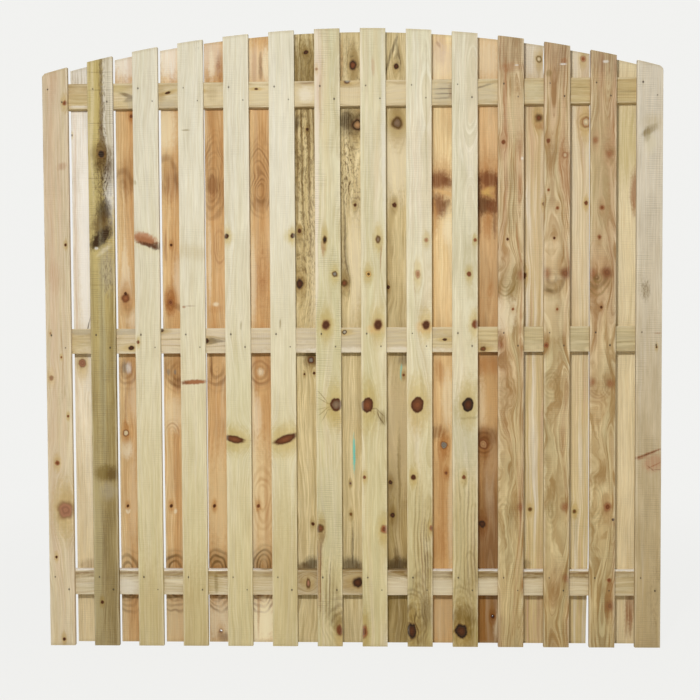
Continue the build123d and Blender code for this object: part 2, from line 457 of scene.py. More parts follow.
def timber(name, look, seed, nailFace):  # a material for one board, from its dictionary
    look, finish = {**plainTimber, **look}, timberFinish
    material, tree = newMaterial(name)
    shader = tree.nodes["Principled BSDF"]
    place = scaled(tree, addNode(tree, "ShaderNodeTexCoord").outputs["Object"], mm)
    seeded = vectorCalc(tree, "ADD", place, tuple(seed * step for step in finish["seedSteps"]))
    ragged = centred(tree, noise(tree, stretched(tree, seeded, finish["ragged"]), 1.0, 4.0, 0.62))
    bend = centred(tree, noise(tree, stretched(tree, seeded, finish["bend"]), 1.0, 1.0))
    across, height = (parts(tree, place)[axis] for axis in ("X", "Z"))

    chain = {"Across": across, "Halo": 0.0, "Mask": 0.0, "Colour": tone("brownKnot")}
    for x, z, radius, kind, *more in look["knots"]:
        heart = "darkKnot" if kind in darkKinds else "brownKnot"
        knot = {**plainKnot, "heart": heart, **(more[0] if more else {})}
        done = placeGroup(tree, knotGroup, {
            **chain, "Place": place, "Ragged": ragged, "Centre": (x, 0.0, z), "Half Width": radius,
            "Half Height": radius * knot["tall"], "Slant": math.radians(knot["slant"]), "Tone": tone(kind),
            "Heart": tone(knot["heart"]), "Heart Edge": knot["edge"], "Strength": knot["strength"],
            "Push": knot["push"], "Soft": knot["soft"]})
        chain = {key: done[key] for key in chain}

    grain = placeGroup(tree, grainGroup, {
        "Place": place, "Seeded": seeded, "Across": chain["Across"], "Pith Across": look["pith"][0],
        "Pith Depth": look["pith"][1], "Ring Width": look["ringWidth"], "Wander": look["wander"],
        "Wiggle": look["wiggle"]})
    cloud = centred(tree, grain["Cloud"])
    level = calc(tree, "MULTIPLY_ADD", cloud, finish["fadeCloud"], height)
    ends = (look["length"] * finish["fadeFrom"], look["length"] * finish["fadeTo"])
    colour = mixColour(tree, fade(tree, level, *ends), tone(look["lower"]), tone(look["upper"]))
    if look["heart"]:
        edge = calc(tree, "MULTIPLY_ADD", cloud, finish["heartCloud"], grain["Radius"])
        outer, inner = look["heartEdge"] + look["heartSoft"], look["heartEdge"] - look["heartSoft"]
        colour = mixColour(tree, fade(tree, edge, outer, inner), colour, tone(look["heart"]))
    for kind, sign in zip(look["bands"], (1.0, -1.0)):
        share = calc(tree, "MULTIPLY", grain["Band"], sign * look["band"], clamp=True)
        colour = mixColour(tree, share, colour, tone(kind))
    thin = calc(tree, "MULTIPLY", calc(tree, "SUBTRACT", 1.0, grain["Streak"]), look["lines"])
    late = calc(tree, "MAXIMUM", calc(tree, "MULTIPLY", grain["Late"], look["contrast"]), thin)
    colour = tinted(tree, late, colour, look["lateTint"])
    shade = calc(tree, "MULTIPLY_ADD", cloud, look["cloud"] * 2, 1.0)
    shade = calc(tree, "MULTIPLY_ADD", centred(tree, grain["Fibre"]), look["fibre"] * 2, shade)
    colour = scaled(tree, colour, shade)

    for x, z, halfWidth, halfHeight, kind, strength, *more in look["stains"]:
        stain = {**plainStain, **(more[0] if more else {})}
        colour = placeGroup(tree, stainGroup, {
            "Place": grain["Flow"], "Ragged": ragged, "Streak": grain["Streak"], "Fleck": grain["Fleck"],
            "Colour": colour, "Centre": (x, 0.0, z), "Half Width": halfWidth, "Half Height": halfHeight,
            "Slant": math.radians(stain["slant"]), "Soft": stain["soft"], "Streaky": stain["streaky"],
            "Flecked": stain["flecked"], "Tone": tone(kind), "Strength": strength})["Colour"]
    for x, z, halfWidth, halfHeight, turn, lines, kind, strength in look["arches"]:
        colour = placeGroup(tree, archGroup, {
            "Place": place, "Bend": bend, "Colour": colour, "Centre": (x, 0.0, z), "Half Width": halfWidth,
            "Half Height": halfHeight, "Turn": turn, "Lines": lines, "Tone": tone(kind),
            "Strength": strength})["Colour"]
    if look["knots"]:
        colour = tinted(tree, calc(tree, "MULTIPLY", chain["Halo"], look["halo"]), colour, look["haloTint"])
        colour = mixColour(tree, chain["Mask"], colour, chain["Colour"])

    marks = placeGroup(tree, sawGroup, {
        "Place": place, "Seeded": seeded, "Pitch": look["sawPitch"]})["Mark"]
    colour = mixColour(tree, calc(tree, "MULTIPLY", marks, look["saw"]), colour, finish["sawTone"])
    if nailFace:
        stain = placeGroup(tree, nailStainGroup, {
            "Place": place, "Ragged": ragged, "First Rail": railLevels["bottom_rail"],
            "Rail Step": railStep, "Out Across": nails["across"], "Out Up": nails["up"],
            "Face": float(nailFace), "Seed": float(seed)})
        streak = calc(tree, "MULTIPLY", stain["Streak"], look["nailStain"] * finish["nailStreak"])
        colour = mixColour(tree, streak, colour, tone("oliveDark"))
        spot = calc(tree, "MULTIPLY", stain["Stain"], look["nailStain"])
        colour = mixColour(tree, spot, colour, tone("nailStain"))

    fromEnd = addNode(tree, "ShaderNodeAttribute", attribute_name="fromEnd").outputs["Fac"]
    grime = calc(tree, "MULTIPLY_ADD", ragged, finish["grimeRagged"], fromEnd)
    grime = calc(tree, "MULTIPLY", fade(tree, grime, finish["grimeReach"], 0.0), finish["grime"])
    colour = mixColour(tree, grime, colour, tone("oliveGrey"))
    worn = addNode(tree, "ShaderNodeAttribute", attribute_name="arris").outputs["Fac"]
    worn = calc(tree, "MULTIPLY", worn, calc(tree, "MULTIPLY", grain["Streak"], finish["edgeWear"]))
    colour = mixColour(tree, worn, colour, tone("sapCream"))
    tree.links.new(colour, shader.inputs["Base Color"])

    rough = calc(tree, "MULTIPLY_ADD", grain["Fibre"], finish["fibreRough"], finish["rough"])
    if look["knots"]:
        rough = calc(tree, "MULTIPLY_ADD", chain["Mask"], finish["knotRough"], rough)
    tree.links.new(rough, shader.inputs["Roughness"])
    shader.inputs["Specular IOR Level"].default_value = finish["specular"]
    relief = calc(tree, "MULTIPLY", grain["Fibre"], finish["fibreRelief"])
    relief = calc(tree, "MULTIPLY_ADD", grain["Late"], finish["lateRelief"], relief)
    relief = calc(tree, "MULTIPLY_ADD", marks, finish["sawRelief"], relief)
    values = {"Height": relief, "Strength": finish["bump"], "Distance": finish["bumpDepth"]}
    bump = addNode(tree, "ShaderNodeBump", values)
    tree.links.new(bump.outputs["Normal"], shader.inputs["Normal"])
    return material


# sawn boards as meshes, in mm from the board's own origin: across X, depth Y, along Z
boardGrid = {
    "edge": 8.0, "across": 7.0, "along": 17.0, "foot": 1.5, "closest": 0.6, "sparse": 0.4, "slack": 0.01,
    "squareHole": (-1, 1), "roundHole": (-1, -0.42, 0.42, 1), "rimAcross": 1.1, "rimAlong": 2.0,
    "knotRows": (-1.7, -1.1, -0.6, 0, 0.6, 1.1, 1.7),  # in knot radii
    "endRows": (0.3, 0.6, 0.86, 0.97, 1.0),  # shares of the way from the last level row to the cut end
}
boardWear = {"spacing": 23.0, "varies": 0.55, "round": 0.3, "sharpAbove": 38.0}  # of the sawn edges
boardRelief = {
    "hollow": 0.14, "wave": 0.09, "waveAlong": 31, "waveBend": 2.5, "waveAcross": 19, "waveSlow": 173,
    "knotDish": 0.35, "dishFall": 1.2, "knotRim": 0.12, "rimAt": 1.6, "widestDish": 20,
    "nailCrush": 0.45, "crushReach": 0.05, "deepest": 1.2,
}
unrolled = {  # the board's map, in mm
    "lengths": 3, "gap": 6.0, "perRow": 110, "cell": 5, "cellStart": 3, "cellRadius": 1.5,
    "room": 1.01, "margin": 0.004,
}
wanderPoints, wanderStart = 600, 200


def gridLines(exact, near, start, end, step):  # the exact lines always, the rest where there is room
    lines = sorted({start, end, *exact})
    for value in near:
        if start < value < end and min(abs(value - line) for line in lines) > boardGrid["closest"]:
            lines.append(value)
    for value in np.arange(start, end, step):
        if min(abs(value - line) for line in lines) > step * boardGrid["sparse"]:
            lines.append(float(value))
    return np.array(sorted(lines))


def wandering(seed, spacing):  # a smooth random line along the board, from -1 to 1
    points = np.random.default_rng(seed).uniform(-1, 1, wanderPoints)

    def at(z):
        steps = np.asarray(z, float) / spacing + wanderStart
        first = np.floor(steps).astype(int)
        share = steps - first
        share = share * share * (3 - 2 * share)
        return points[first] * (1 - share) + points[first + 1] * share
    return at


def swell(z, middle, size, tallness):  # a bulge of a size at a height, gone a few times its tallness away
    return size * math.exp(-((z - middle) / tallness) ** 2)


def unroll(mesh, points, allPoints, kept, capCount, half):  # three lengths side by side fill a square map
    rowCount, ringCount = points.shape[:2]
    halfWide, halfThick = half
    lengths, gap = unrolled["lengths"], unrolled["gap"]
    around = np.zeros(ringCount + 1)
    closed = np.vstack([points[0, :, :2], points[0, :1, :2]])
    around[1:] = np.cumsum(np.hypot(*np.diff(closed, axis=0).T))
    middle = points[:, 0, 2]
    reach = middle[-1] - middle[0]
    cuts = [np.searchsorted(middle, middle[0] + reach * n / lengths) for n in range(lengths)]
    cuts.append(rowCount - 1)
    segment = np.searchsorted(cuts[1:-1], np.arange(rowCount), side="right")
    vertexOf = np.zeros(len(mesh.loops), int)
    mesh.loops.foreach_get("vertex_index", vertexOf)
    flat = np.zeros((len(mesh.loops), 2))
    four = 4 * len(kept)
    column = vertexOf[:four] % ringCount
    faceRow, faceColumn = np.repeat(kept[:, 0], 4), np.repeat(kept[:, 1], 4)
    turned = np.where((column == 0) & (faceColumn == ringCount - 1), ringCount, column)
    part = segment[faceRow]
    flat[:four, 0] = around[turned] + part * (around[-1] + gap)
    flat[:four, 1] = allPoints[vertexOf[:four], 2] - middle[cuts][part]
    tallest = flat[:four, 1].max() + gap
    for number, polygon in enumerate(mesh.polygons[len(kept):]):
        loops = list(polygon.loop_indices)
        if number < capCount:
            upper = number >= capCount // 2
            spot = allPoints[vertexOf[loops]][:, :2] + (halfWide + upper * (2 * halfWide + gap), halfThick)
        else:
            turnAt = 2 * math.pi * np.arange(len(loops)) / len(loops)
            row, place = divmod(number - capCount, unrolled["perRow"])
            right = place * unrolled["cell"] + unrolled["cellStart"]
            above = 2 * halfThick + gap + row * unrolled["cell"] + unrolled["cellStart"]
            spot = np.stack([np.cos(turnAt), np.sin(turnAt)], 1) * unrolled["cellRadius"] + (right, above)
        flat[loops] = spot + (0, tallest)
    flat = (flat - flat.min(0)) / (np.ptp(flat, axis=0).max() * unrolled["room"]) + unrolled["margin"]
    mesh.uv_layers.new(name="OFBake").data.foreach_set("uv", flat.astype(np.float32).ravel())


def sawnBoard(name, shape, holes, knots, seed):
    halfWide, halfThick, arris = shape["width"] / 2, shape["thickness"] / 2, shape["arris"]
    edge = halfWide - boardGrid["edge"]
    exactX, nearX, exactZ, nearZ = [-edge, edge], [], [], [shape["low"] + boardGrid["foot"]]
    for hole in holes:
        shares = boardGrid["roundHole"] if hole["round"] else boardGrid["squareHole"]
        for exact, near, middle, rim in ((exactX, nearX, hole["across"], boardGrid["rimAcross"]),
                                         (exactZ, nearZ, hole["height"], boardGrid["rimAlong"])):
            exact += [middle + share * hole["half"] for share in shares]
            near += [middle - hole["half"] - rim, middle + hole["half"] + rim]
    for x, z, radius, *rest in knots:
        nearZ += [z + radius * share for share in boardGrid["knotRows"]]
    inner = gridLines(exactX, nearX, -edge, edge, boardGrid["across"])
    columns = np.concatenate([[-halfWide], inner, [halfWide]])
    rows = gridLines(exactZ, nearZ, shape["low"], shape["keep"], boardGrid["along"])
    above = np.array(boardGrid["endRows"])
    rowCount, columnCount = len(rows) + len(above), len(columns)
    level = np.concatenate([rows, np.full(len(above), shape["keep"])])
    share = np.concatenate([np.zeros(len(rows)), above])

    # round the board from the front's left edge: front, right side, back, left side
    corners = [wandering(seed * 7 + i, boardWear["spacing"]) for i in range(4)]
    sideCount = 5  # points on each narrow side
    ringCount = 2 * columnCount + 2 * sideCount
    points = np.zeros((rowCount, ringCount, 3))
    worn = np.zeros((rowCount, ringCount))
    faceOf = np.zeros(ringCount, int)
    tip = float(shape["end"](np.zeros(1))[0])
    for i in range(rowCount):
        rowZ = level[i] + share[i] * (tip - level[i])
        cut = [arris * (1.0 + boardWear["varies"] * float(corner(rowZ))) for corner in corners]
        for side, *chip in shape.get("chips", []):
            cut[side] += swell(rowZ, *chip)
        lost = {-1: 0.0, 1: 0.0}  # where the board's edge falls short of its full width
        for sign, *short in shape.get("edges", []):
            lost[sign] += swell(rowZ, *short)
        toLeft, toRight = -halfWide + lost[-1], halfWide - lost[1]
        frontLeft, frontRight, backRight, backLeft = cut
        softLeft, softRight, softBackRight, softBackLeft = (boardWear["round"] * size for size in cut)
        front = columns.copy()
        front[0], front[-1] = toLeft + frontLeft, toRight - frontRight
        back = columns[::-1].copy()
        back[0], back[-1] = toRight - backRight, toLeft + backLeft
        right = [(toRight - softRight, -halfThick + softRight), (toRight, -halfThick + frontRight),
                 (toRight, 0), (toRight, halfThick - backRight),
                 (toRight - softBackRight, halfThick - softBackRight)]
        left = [(toLeft + softBackLeft, halfThick - softBackLeft), (toLeft, halfThick - backLeft),
                (toLeft, 0), (toLeft, -halfThick + frontLeft),
                (toLeft + softLeft, -halfThick + softLeft)]
        points[i, :, :2] = [(x, -halfThick) for x in front] + right + [(x, halfThick) for x in back] + left
    backStart = columnCount + sideCount
    backEnd = backStart + columnCount - 1
    faceOf[:columnCount], faceOf[backStart:backEnd + 1] = -1, 1
    for k in (0, columnCount - 1, columnCount, backStart - 1,
              backStart, backEnd, backEnd + 1, ringCount - 1):
        worn[:, k] = 1.0
    end = shape["end"](points[:, :, 0])
    points[:, :, 2] = level[:, None] + share[:, None] * (end - level[:, None])
    fromEnd = np.minimum(points[:, :, 2] - shape["low"], end - points[:, :, 2])

    # slight hollows in the sawn faces, dished knots, and a crushed rim round each nail
    x, z = points[:, :, 0], points[:, :, 2]
    relief = boardRelief
    bent = z / relief["waveAlong"] + relief["waveBend"] * np.sin(x / relief["waveAcross"] + seed)
    hollow = relief["hollow"] + relief["wave"] * np.sin(bent) * np.sin(z / relief["waveSlow"] + seed)
    for kx, kz, radius, *rest in knots:
        away = ((x - kx) / radius) ** 2 + ((z - kz) / radius) ** 2
        dish = relief["knotDish"] * np.exp(-away * relief["dishFall"])
        hollow += dish - relief["knotRim"] * np.exp(-(away - relief["rimAt"]) ** 2)
    for hole in holes:
        if not hole["round"]:
            away = np.maximum(abs(x - hole["across"]), abs(z - hole["height"]))
            hollow += relief["nailCrush"] * (away < hole["half"] + relief["crushReach"])
    points[:, :, 1] -= np.clip(hollow, 0, relief["deepest"]) * faceOf[None, :] * (worn < 0.5)

    grid = np.arange(rowCount * ringCount).reshape(rowCount, ringCount)
    lower, upper = grid[:-1], grid[1:]
    quads = np.stack([lower, np.roll(lower, -1, 1), np.roll(upper, -1, 1), upper], -1)
    keepQuad = np.ones((rowCount - 1, ringCount), bool)
    extraPoints, extraFaces = [], []
    for hole in holes:
        reach = hole["half"] + boardGrid["slack"]
        rowsIn = [i for i in range(len(rows)) if abs(rows[i] - hole["height"]) < reach]
        columnsIn = [j for j in range(columnCount) if abs(columns[j] - hole["across"]) < reach]
        firstRow, lastRow, firstColumn, lastColumn = rowsIn[0], rowsIn[-1], columnsIn[0], columnsIn[-1]
        loop = [(firstRow, j) for j in columnsIn[:-1]] + [(i, lastColumn) for i in rowsIn[:-1]]
        loop += [(lastRow, j) for j in columnsIn[:0:-1]] + [(i, firstColumn) for i in rowsIn[:0:-1]]
        frontLoop = [grid[i, j] for i, j in loop]
        backLoop = [grid[i, backEnd - j] for i, j in loop]
        if hole["face"] <= 0:
            keepQuad[firstRow:lastRow, firstColumn:lastColumn] = False
        if hole["face"] >= 0:
            keepQuad[firstRow:lastRow, backEnd - lastColumn:backEnd - firstColumn] = False
        if hole["round"]:
            for index in frontLoop + backLoop:
                i, k = divmod(index, ringCount)
                away = points[i, k, [0, 2]] - (hole["across"], hole["height"])
                points[i, k, [0, 2]] += away * (hole["half"] / np.hypot(*away) - 1)
        if hole["face"]:  # a pocket, closed at its depth
            start = frontLoop if hole["face"] < 0 else backLoop
            first = rowCount * ringCount + len(extraPoints)
            for index in start:
                i, k = divmod(index, ringCount)
                floorY = hole["face"] * (halfThick - hole["depth"])
                extraPoints.append((points[i, k, 0], floorY, points[i, k, 2]))
            finish = [first + n for n in range(len(start))]
            extraFaces.append(finish)
        else:
            start, finish = frontLoop, backLoop
        for n in range(len(start)):
            m = (n + 1) % len(start)
            extraFaces.append([start[n], start[m], finish[m], finish[n]])

    caps = []
    for i in (0, rowCount - 1):
        backward = [grid[i, backEnd - j] for j in range(columnCount)]
        for j in range(columnCount - 1):
            caps.append([grid[i, j], grid[i, j + 1], backward[j + 1], backward[j]])
        caps.append([grid[i, k] for k in range(columnCount - 1, backStart + 1)])
        caps.append([grid[i, k % ringCount] for k in range(backEnd, ringCount + 1)])

    faces = quads[keepQuad].tolist() + caps + extraFaces
    allPoints = np.concatenate([points.reshape(-1, 3), np.array(extraPoints).reshape(-1, 3)])
    mesh = bpy.data.meshes.new(name)
    mesh.from_pydata((allPoints / mm).tolist(), [], [[int(v) for v in face] for face in faces])
    outward = bmesh.new()
    outward.from_mesh(mesh)
    bmesh.ops.recalc_face_normals(outward, faces=outward.faces)
    outward.to_mesh(mesh)
    outward.free()

    for label, values, inHole in (("fromEnd", fromEnd, 100.0), ("arris", worn, 0.0)):
        attribute = mesh.attributes.new(label, "FLOAT", "POINT")
        values = np.concatenate([values.ravel(), np.full(len(extraPoints), inHole)])
        attribute.data.foreach_set("value", values.astype(np.float32))
    unroll(mesh, points, allPoints, np.argwhere(keepQuad), len(caps), (halfWide, halfThick))
    mesh.polygons.foreach_set("use_smooth", np.ones(len(mesh.polygons), bool))
    mesh.set_sharp_from_angle(angle=math.radians(boardWear["sharpAbove"]))
    board = bpy.data.objects.new(name, mesh)
    bpy.context.collection.objects.link(board)
    return board


# the bow that the tops of the palings are cut to, from the panel's own box
panelHalf, crown = cadBox[1].x * mm, cadBox[1].z * mm
bow = {"rise": 123.0, "shoulder": 11.0}
bowRadius = (panelHalf ** 2 + bow["rise"] ** 2) / (2 * bow["rise"])


def bowAt(x):
    top = crown - bowRadius + np.sqrt(bowRadius ** 2 - x ** 2)
    over = np.clip(np.abs(x) - (panelHalf - bow["shoulder"]), 0, bow["shoulder"])
    return top - (bow["shoulder"] - np.sqrt(bow["shoulder"] ** 2 - over ** 2))


# knots: across, height, radius, tone; stains: across, height, half width, half height, tone, strength;
# both may end with a dictionary of what is unlike plainKnot or plainStain
# arches: across, height, half width, half height, turn, lines, tone, strength
# chips: corner, height, size, tallness; edges: side, height, how much is missing, tallness
softRed = {"soft": 0.8, "strength": 0.75, "heart": "redKnot"}  # a knot that fades into the board
whorl = {"strength": 0.0}  # bends the grain and shows no knot
tallWhorl = {**whorl, "tall": 2.0}
creamTimber = {"slot": "pale_timber", "upper": "paleCream", "lower": "straw"}
brownTimber = {  # what the three pink-brown boards with whorls share
    "slot": "pink_timber", "upper": "pinkBrown", "lower": "pinkBrownLow", "ringWidth": 4.2, "saw": 0.14,
    "bands": ("fadedRed", "mossTan"), "band": 0.65, "lines": 1.0, "cloud": 0.3, "wiggle": 10.0,
    "lateTint": (0.58, 0.46, 0.33, 1.0), "haloTint": (0.76, 0.60, 0.44, 1.0), "halo": 0.5}
frontPalings = {
    "front_paling_01": {
        "slot": "pink_timber", "upper": "pinkTan", "lower": "pinkTanLow", "pith": (-70, 30),
        "ringWidth": 4.5, "bands": ("pinkStreak", "honey"), "band": 0.3, "lines": 0.5, "contrast": 0.35,
        "cloud": 0.2,
        "knots": [
            (30, 1627, 7, "redKnot"), (26, 1207, 4, "darkKnot"),
            (-24, 944, 3, "redKnot", {"strength": 0.6}), (8, 872, 3, "redKnot"),
            (-23, 810, 7, "redKnot", {"strength": 0.7, "heart": "brownKnot"}), (26, 695, 3.5, "brownKnot"),
            (-9, 554, 7, "redKnot"),
            (14, 411, 22, "brownKnot", {"heart": "rustKnot", "edge": 1.1, "soft": 0.4}),
            (-16, 269, 4, "darkKnot"), (4, 19, 5, "darkKnot")],
        "stains": [
            (-12, 1000, 11, 900, "pinkStreak", 0.35), (-3, 1680, 9, 50, "redSmear", 0.35),
            (19, 1440, 13, 10, "redKnot", 0.5, {"slant": 35}), (-6, 1109, 16, 45, "redSmear", 0.3),
            (8, 860, 2, 110, "redStreak", 0.4),
            (9, 758, 7, 30, "oliveGrey", 0.5, {"slant": -20, "streaky": 0.9})]},
    "front_paling_02": {
        "slot": "olive_timber", "upper": "yellowOlive", "lower": "oliveGrey", "pith": (60, 30),
        "ringWidth": 6, "bands": ("oliveDark", "yellowOlive"), "band": 0.3, "lines": 0.65, "contrast": 0.6,
        "cloud": 0.25, "saw": 0.3,
        "knots": [(2, 1475, 10, "blackKnot", {"heart": "blackKnot"}), (-13, 132, 5, "darkKnot")],
        "stains": [
            (-22, 1400, 14, 420, "yellowOlive", 0.7),
            (24, 1570, 20, 290, "greyWhite", 0.9, {"soft": 0.35, "streaky": 0.3}),
            (3, 1600, 5, 240, "mouldBrown", 0.8),
            (6, 1560, 10, 260, "mouldBrown", 0.7, {"flecked": 1.0, "streaky": 0.2}),
            (22, 1600, 10, 260, "oliveGrey", 0.7, {"streaky": 0.9}), (-22, 1600, 5, 250, "sapCream", 0.35),
            (2, 1716, 40, 1.6, "mouldBrown", 0.4), (1, 1664, 40, 1.6, "mouldBrown", 0.4),
            (0, 1566, 40, 1.6, "mouldBrown", 0.35), (-4, 1404, 40, 2, "mouldBrown", 0.4),
            (-6, 1087, 40, 2, "oliveDark", 0.4), (2, 1475, 28, 28, "mouldBrown", 0.55),
            (8, 1438, 24, 18, "mouldBrown", 0.7), (22, 1420, 14, 50, "mouldBrown", 0.6),
            (8, 1400, 26, 56, "mould", 0.75, {"flecked": 0.9, "streaky": 0.2}),
            (6, 1330, 26, 60, "mouldBrown", 0.55, {"flecked": 0.9}), (26, 1345, 10, 50, "greyWhite", 0.6),
            (8, 1306, 20, 34, "mould", 0.9, {"streaky": 0.1}),
            (2, 1262, 28, 34, "mouldBrown", 0.85, {"streaky": 0.1}),
            (-2, 1226, 42, 19, "mould", 1.0, {"slant": 43, "soft": 0.4, "streaky": 0.0}),
            (-2, 900, 9, 320, "greyGreen", 0.5), (-31, 900, 6, 330, "oliveDark", 0.4),
            # painted highlight: the resin spot here is a white glint on the knot's resin, painted into the
            # colour
            (29, 950, 8, 260, "oliveDark", 0.45), (-16, 1196, 5, 4, "paintedResinGlint", 0.8),
            (8, 1190, 24, 6, "sapCream", 0.5, {"slant": 38}), (14, 1131, 20, 60, "railGrey", 0.6),
            (16, 1120, 18, 60, "mould", 0.5, {"flecked": 1.0}),
            (-4, 860, 5, 330, "oliveDark", 0.55, {"streaky": 0.6}), (-24, 300, 14, 300, "mossTan", 0.6),
            (16, 330, 16, 340, "oliveDark", 0.45, {"streaky": 0.6}),
            (4, 523, 34, 24, "oliveDark", 0.85, {"soft": 0.5, "streaky": 0.1}),
            (22, 520, 16, 20, "mouldBrown", 0.7, {"streaky": 0.1}), (8, 469, 22, 26, "railGrey", 0.5),
            (-5, 260, 10, 200, "mouldBrown", 0.35, {"streaky": 0.8})]},
    "front_paling_03": {
        **creamTimber, "pith": (-140, 60), "contrast": 0.3, "lines": 0.4,
        "knots": [(-30, 916, 5, "brownKnot")],
        "stains": [
            (0, 1215, 46, 24, "yellowOlive", 0.35, {"slant": -20, "soft": 0.8}),
            (-6, 1224, 37, 17, "redSmear", 1.0, {"slant": -17, "soft": 0.3, "streaky": 0.0}),
            (-4, 1217, 36, 11, "redKnot", 0.75, {"slant": -17, "streaky": 0.0}),
            (8, 1204, 33, 6, "darkKnot", 0.9, {"slant": -17, "streaky": 0.0}),
            (26, 1202, 14, 10, "darkKnot", 0.75, {"streaky": 0.0}), (0, 50, 60, 200, "oliveTan", 0.45),
            (-33, 1390, 5, 6, "oliveGrey", 0.7)]},
    "front_paling_04": {
        **creamTimber, "pith": (150, 40), "contrast": 0.26, "lines": 0.4, "chips": [(1, 1785, 4, 12)],
        "stains": [
            (-15, 1543, 11, 2.5, "oliveDark", 0.6), (22, 1792, 8, 14, "mould", 0.5, {"flecked": 1.0}),
            (4, 1183, 60, 20, "oliveTan", 0.35, {"slant": -10, "soft": 0.8}),
            (-24, 1020, 5, 3, "redKnot", 0.8), (-8, 1023, 18, 1.5, "brownKnot", 0.5),
            (0, 796, 40, 7, "redKnot", 0.95, {"slant": 3, "soft": 0.4, "streaky": 0.0}),
            (-25, 794, 10, 4, "darkKnot", 0.6), (0, 50, 60, 200, "oliveTan", 0.6)]},
    "front_paling_05": {
        **creamTimber, "pith": (-110, 70), "contrast": 0.26, "lines": 0.4,
        "knots": [
            (-31, 1229, 7, "blackKnot"),
            (-13, 624, 30, "darkKnot", {"tall": 0.38, "slant": -12, "heart": "brownKnot", "soft": 0.25})],
        "stains": [
            (10, 965, 2, 14, "oliveDark", 0.6), (-22, 1225, 12, 16, "yellowOlive", 0.4),
            (0, 720, 50, 170, "mossCream", 0.4), (22, 614, 18, 2.5, "brownKnot", 0.7, {"slant": -18})]},
    "front_paling_06": {
        **creamTimber, "pith": (130, 45), "ringWidth": 4, "lines": 0.3,
        "knots": [
            (31, 1229, 7, "blackKnot"),
            (5, 624, 36, "darkKnot", {"tall": 0.36, "slant": 20, "heart": "brownKnot", "soft": 0.25})],
        "stains": [
            (24, 1226, 16, 18, "yellowOlive", 0.55), (-8, 968, 2, 14, "oliveDark", 0.6),
            (0, 200, 60, 220, "oliveTan", 0.4)]},
    "front_paling_07": {
        "slot": "pale_timber", "upper": "greenCream", "lower": "straw", "pith": (40, 60), "ringWidth": 6,
        "saw": 0.24, "bands": ("pinkWhite", "mossCream"), "band": 0.55, "lines": 0.5, "contrast": 0.45,
        "cloud": 0.2, "arches": [(30, 52, 60, 110, 1, 5, "mouldBrown", 0.6)],
        "knots": [
            (-31, 1717, 4, "redKnot", {"strength": 0.7}),
            (-9, 1217, 7, "mouldBrown", {"tall": 1.7, "heart": "blackKnot"}),
            (20, 1115, 8, "mouldBrown", {"heart": "greyKnot"}),
            (-7, 964, 13, "redKnot", {"heart": "darkKnot", "edge": 1.1}),
            (22, 726, 18, "darkKnot", {"heart": "dullKnot", "tall": 1.1, "soft": 0.15}),
            (-27, 357, 11, "mouldBrown", {"heart": "brownKnot"}), (28, 50, 9, "brownKnot", {"tall": 2.0})],
        "stains": [
            (-30, 1400, 7, 560, "pinkWhite", 0.85, {"soft": 0.4}), (-22, 1690, 12, 140, "redSmear", 0.3),
            (-4, 1600, 12, 250, "sandTan", 0.4), (-9, 1190, 2.5, 20, "redKnot", 0.7),
            (-4, 960, 20, 24, "yellowOlive", 0.45), (-2, 750, 26, 1.8, "oliveDark", 0.7, {"slant": -42}),
            (0, 738, 22, 1.6, "oliveDark", 0.6, {"slant": -24}),
            (0, 708, 24, 1.8, "oliveDark", 0.7, {"slant": 32}),
            (6, 697, 22, 1.8, "mouldBrown", 0.6, {"slant": 50}),
            (-6, 716, 18, 1.6, "oliveDark", 0.5, {"slant": 12}), (10, 700, 26, 30, "yellowOlive", 0.35),
            (-29, 240, 7, 130, "brownHeart", 0.8), (-33, 250, 1.8, 130, "burntBrown", 0.8),
            (-25, 230, 1.8, 130, "burntBrown", 0.8), (0, 400, 44, 140, "greyGreen", 0.5),
            (0, 960, 50, 200, "mossCream", 0.3), (6, 160, 26, 80, "oliveDark", 0.4, {"streaky": 0.9}),
            (-8, 160, 1.8, 90, "oliveDark", 0.6), (2, 170, 2, 90, "mouldBrown", 0.5),
            (12, 150, 2, 90, "oliveDark", 0.6), (20, 80, 14, 44, "oliveDark", 0.5, {"slant": 20})]},
    "front_paling_08": {
        "slot": "pale_timber", "upper": "greenCream", "lower": "straw", "pith": (30, 55), "ringWidth": 6,
        "saw": 0.08, "bands": ("pinkWhite", "mossCream"), "band": 0.5, "lines": 0.45, "contrast": 0.45,
        "cloud": 0.18,
        "knots": [
            (14, 1216, 8, "mouldBrown", {"tall": 1.5, "heart": "dullKnot"}),
            (-15, 1114, 8, "yellowKnot", {"heart": "mouldBrown"}),
            (13, 963, 14, "redKnot", {"heart": "darkKnot", "edge": 1.1}),
            (-20, 725, 19, "darkKnot", {"heart": "brownKnot", "soft": 0.12}), (-30, 510, 5, "brownKnot"),
            (28, 354, 11, "redKnot", {"heart": "brownKnot"}), (-32, 44, 10, "redKnot", {"tall": 2.0})],
        "stains": [
            (30, 1550, 6, 300, "greyWhite", 0.6), (10, 1600, 8, 300, "sandTan", 0.35),
            (1, 1723, 5, 25, "redSmear", 0.5), (14, 1160, 1.5, 40, "redKnot", 0.6),
            (2, 950, 14, 12, "amberLow", 0.5),
            (12, 688, 26, 18, "oliveDark", 0.8, {"slant": -32, "streaky": 0.9}),
            (-6, 698, 22, 1.8, "mouldBrown", 0.6, {"slant": -58}),
            (0, 704, 24, 1.8, "mouldBrown", 0.6, {"slant": -36}),
            (4, 684, 26, 2, "mouldBrown", 0.6, {"slant": -48})]},
    "front_paling_09": {
        "slot": "pale_timber", "upper": "paleGreen", "lower": "straw", "pith": (20, 50), "ringWidth": 6,
        "bands": ("pinkWhite", "mossCream"), "band": 0.5, "lines": 0.5, "contrast": 0.5, "cloud": 0.18,
        "wiggle": 12.0,
        "knots": [
            (21, 1213, 6, "redSmear", {"heart": "redKnot", "strength": 0.8}),
            (-4, 1113, 8, "redSmear", {"strength": 0.8, "heart": "redKnot", "tall": 1.6}),
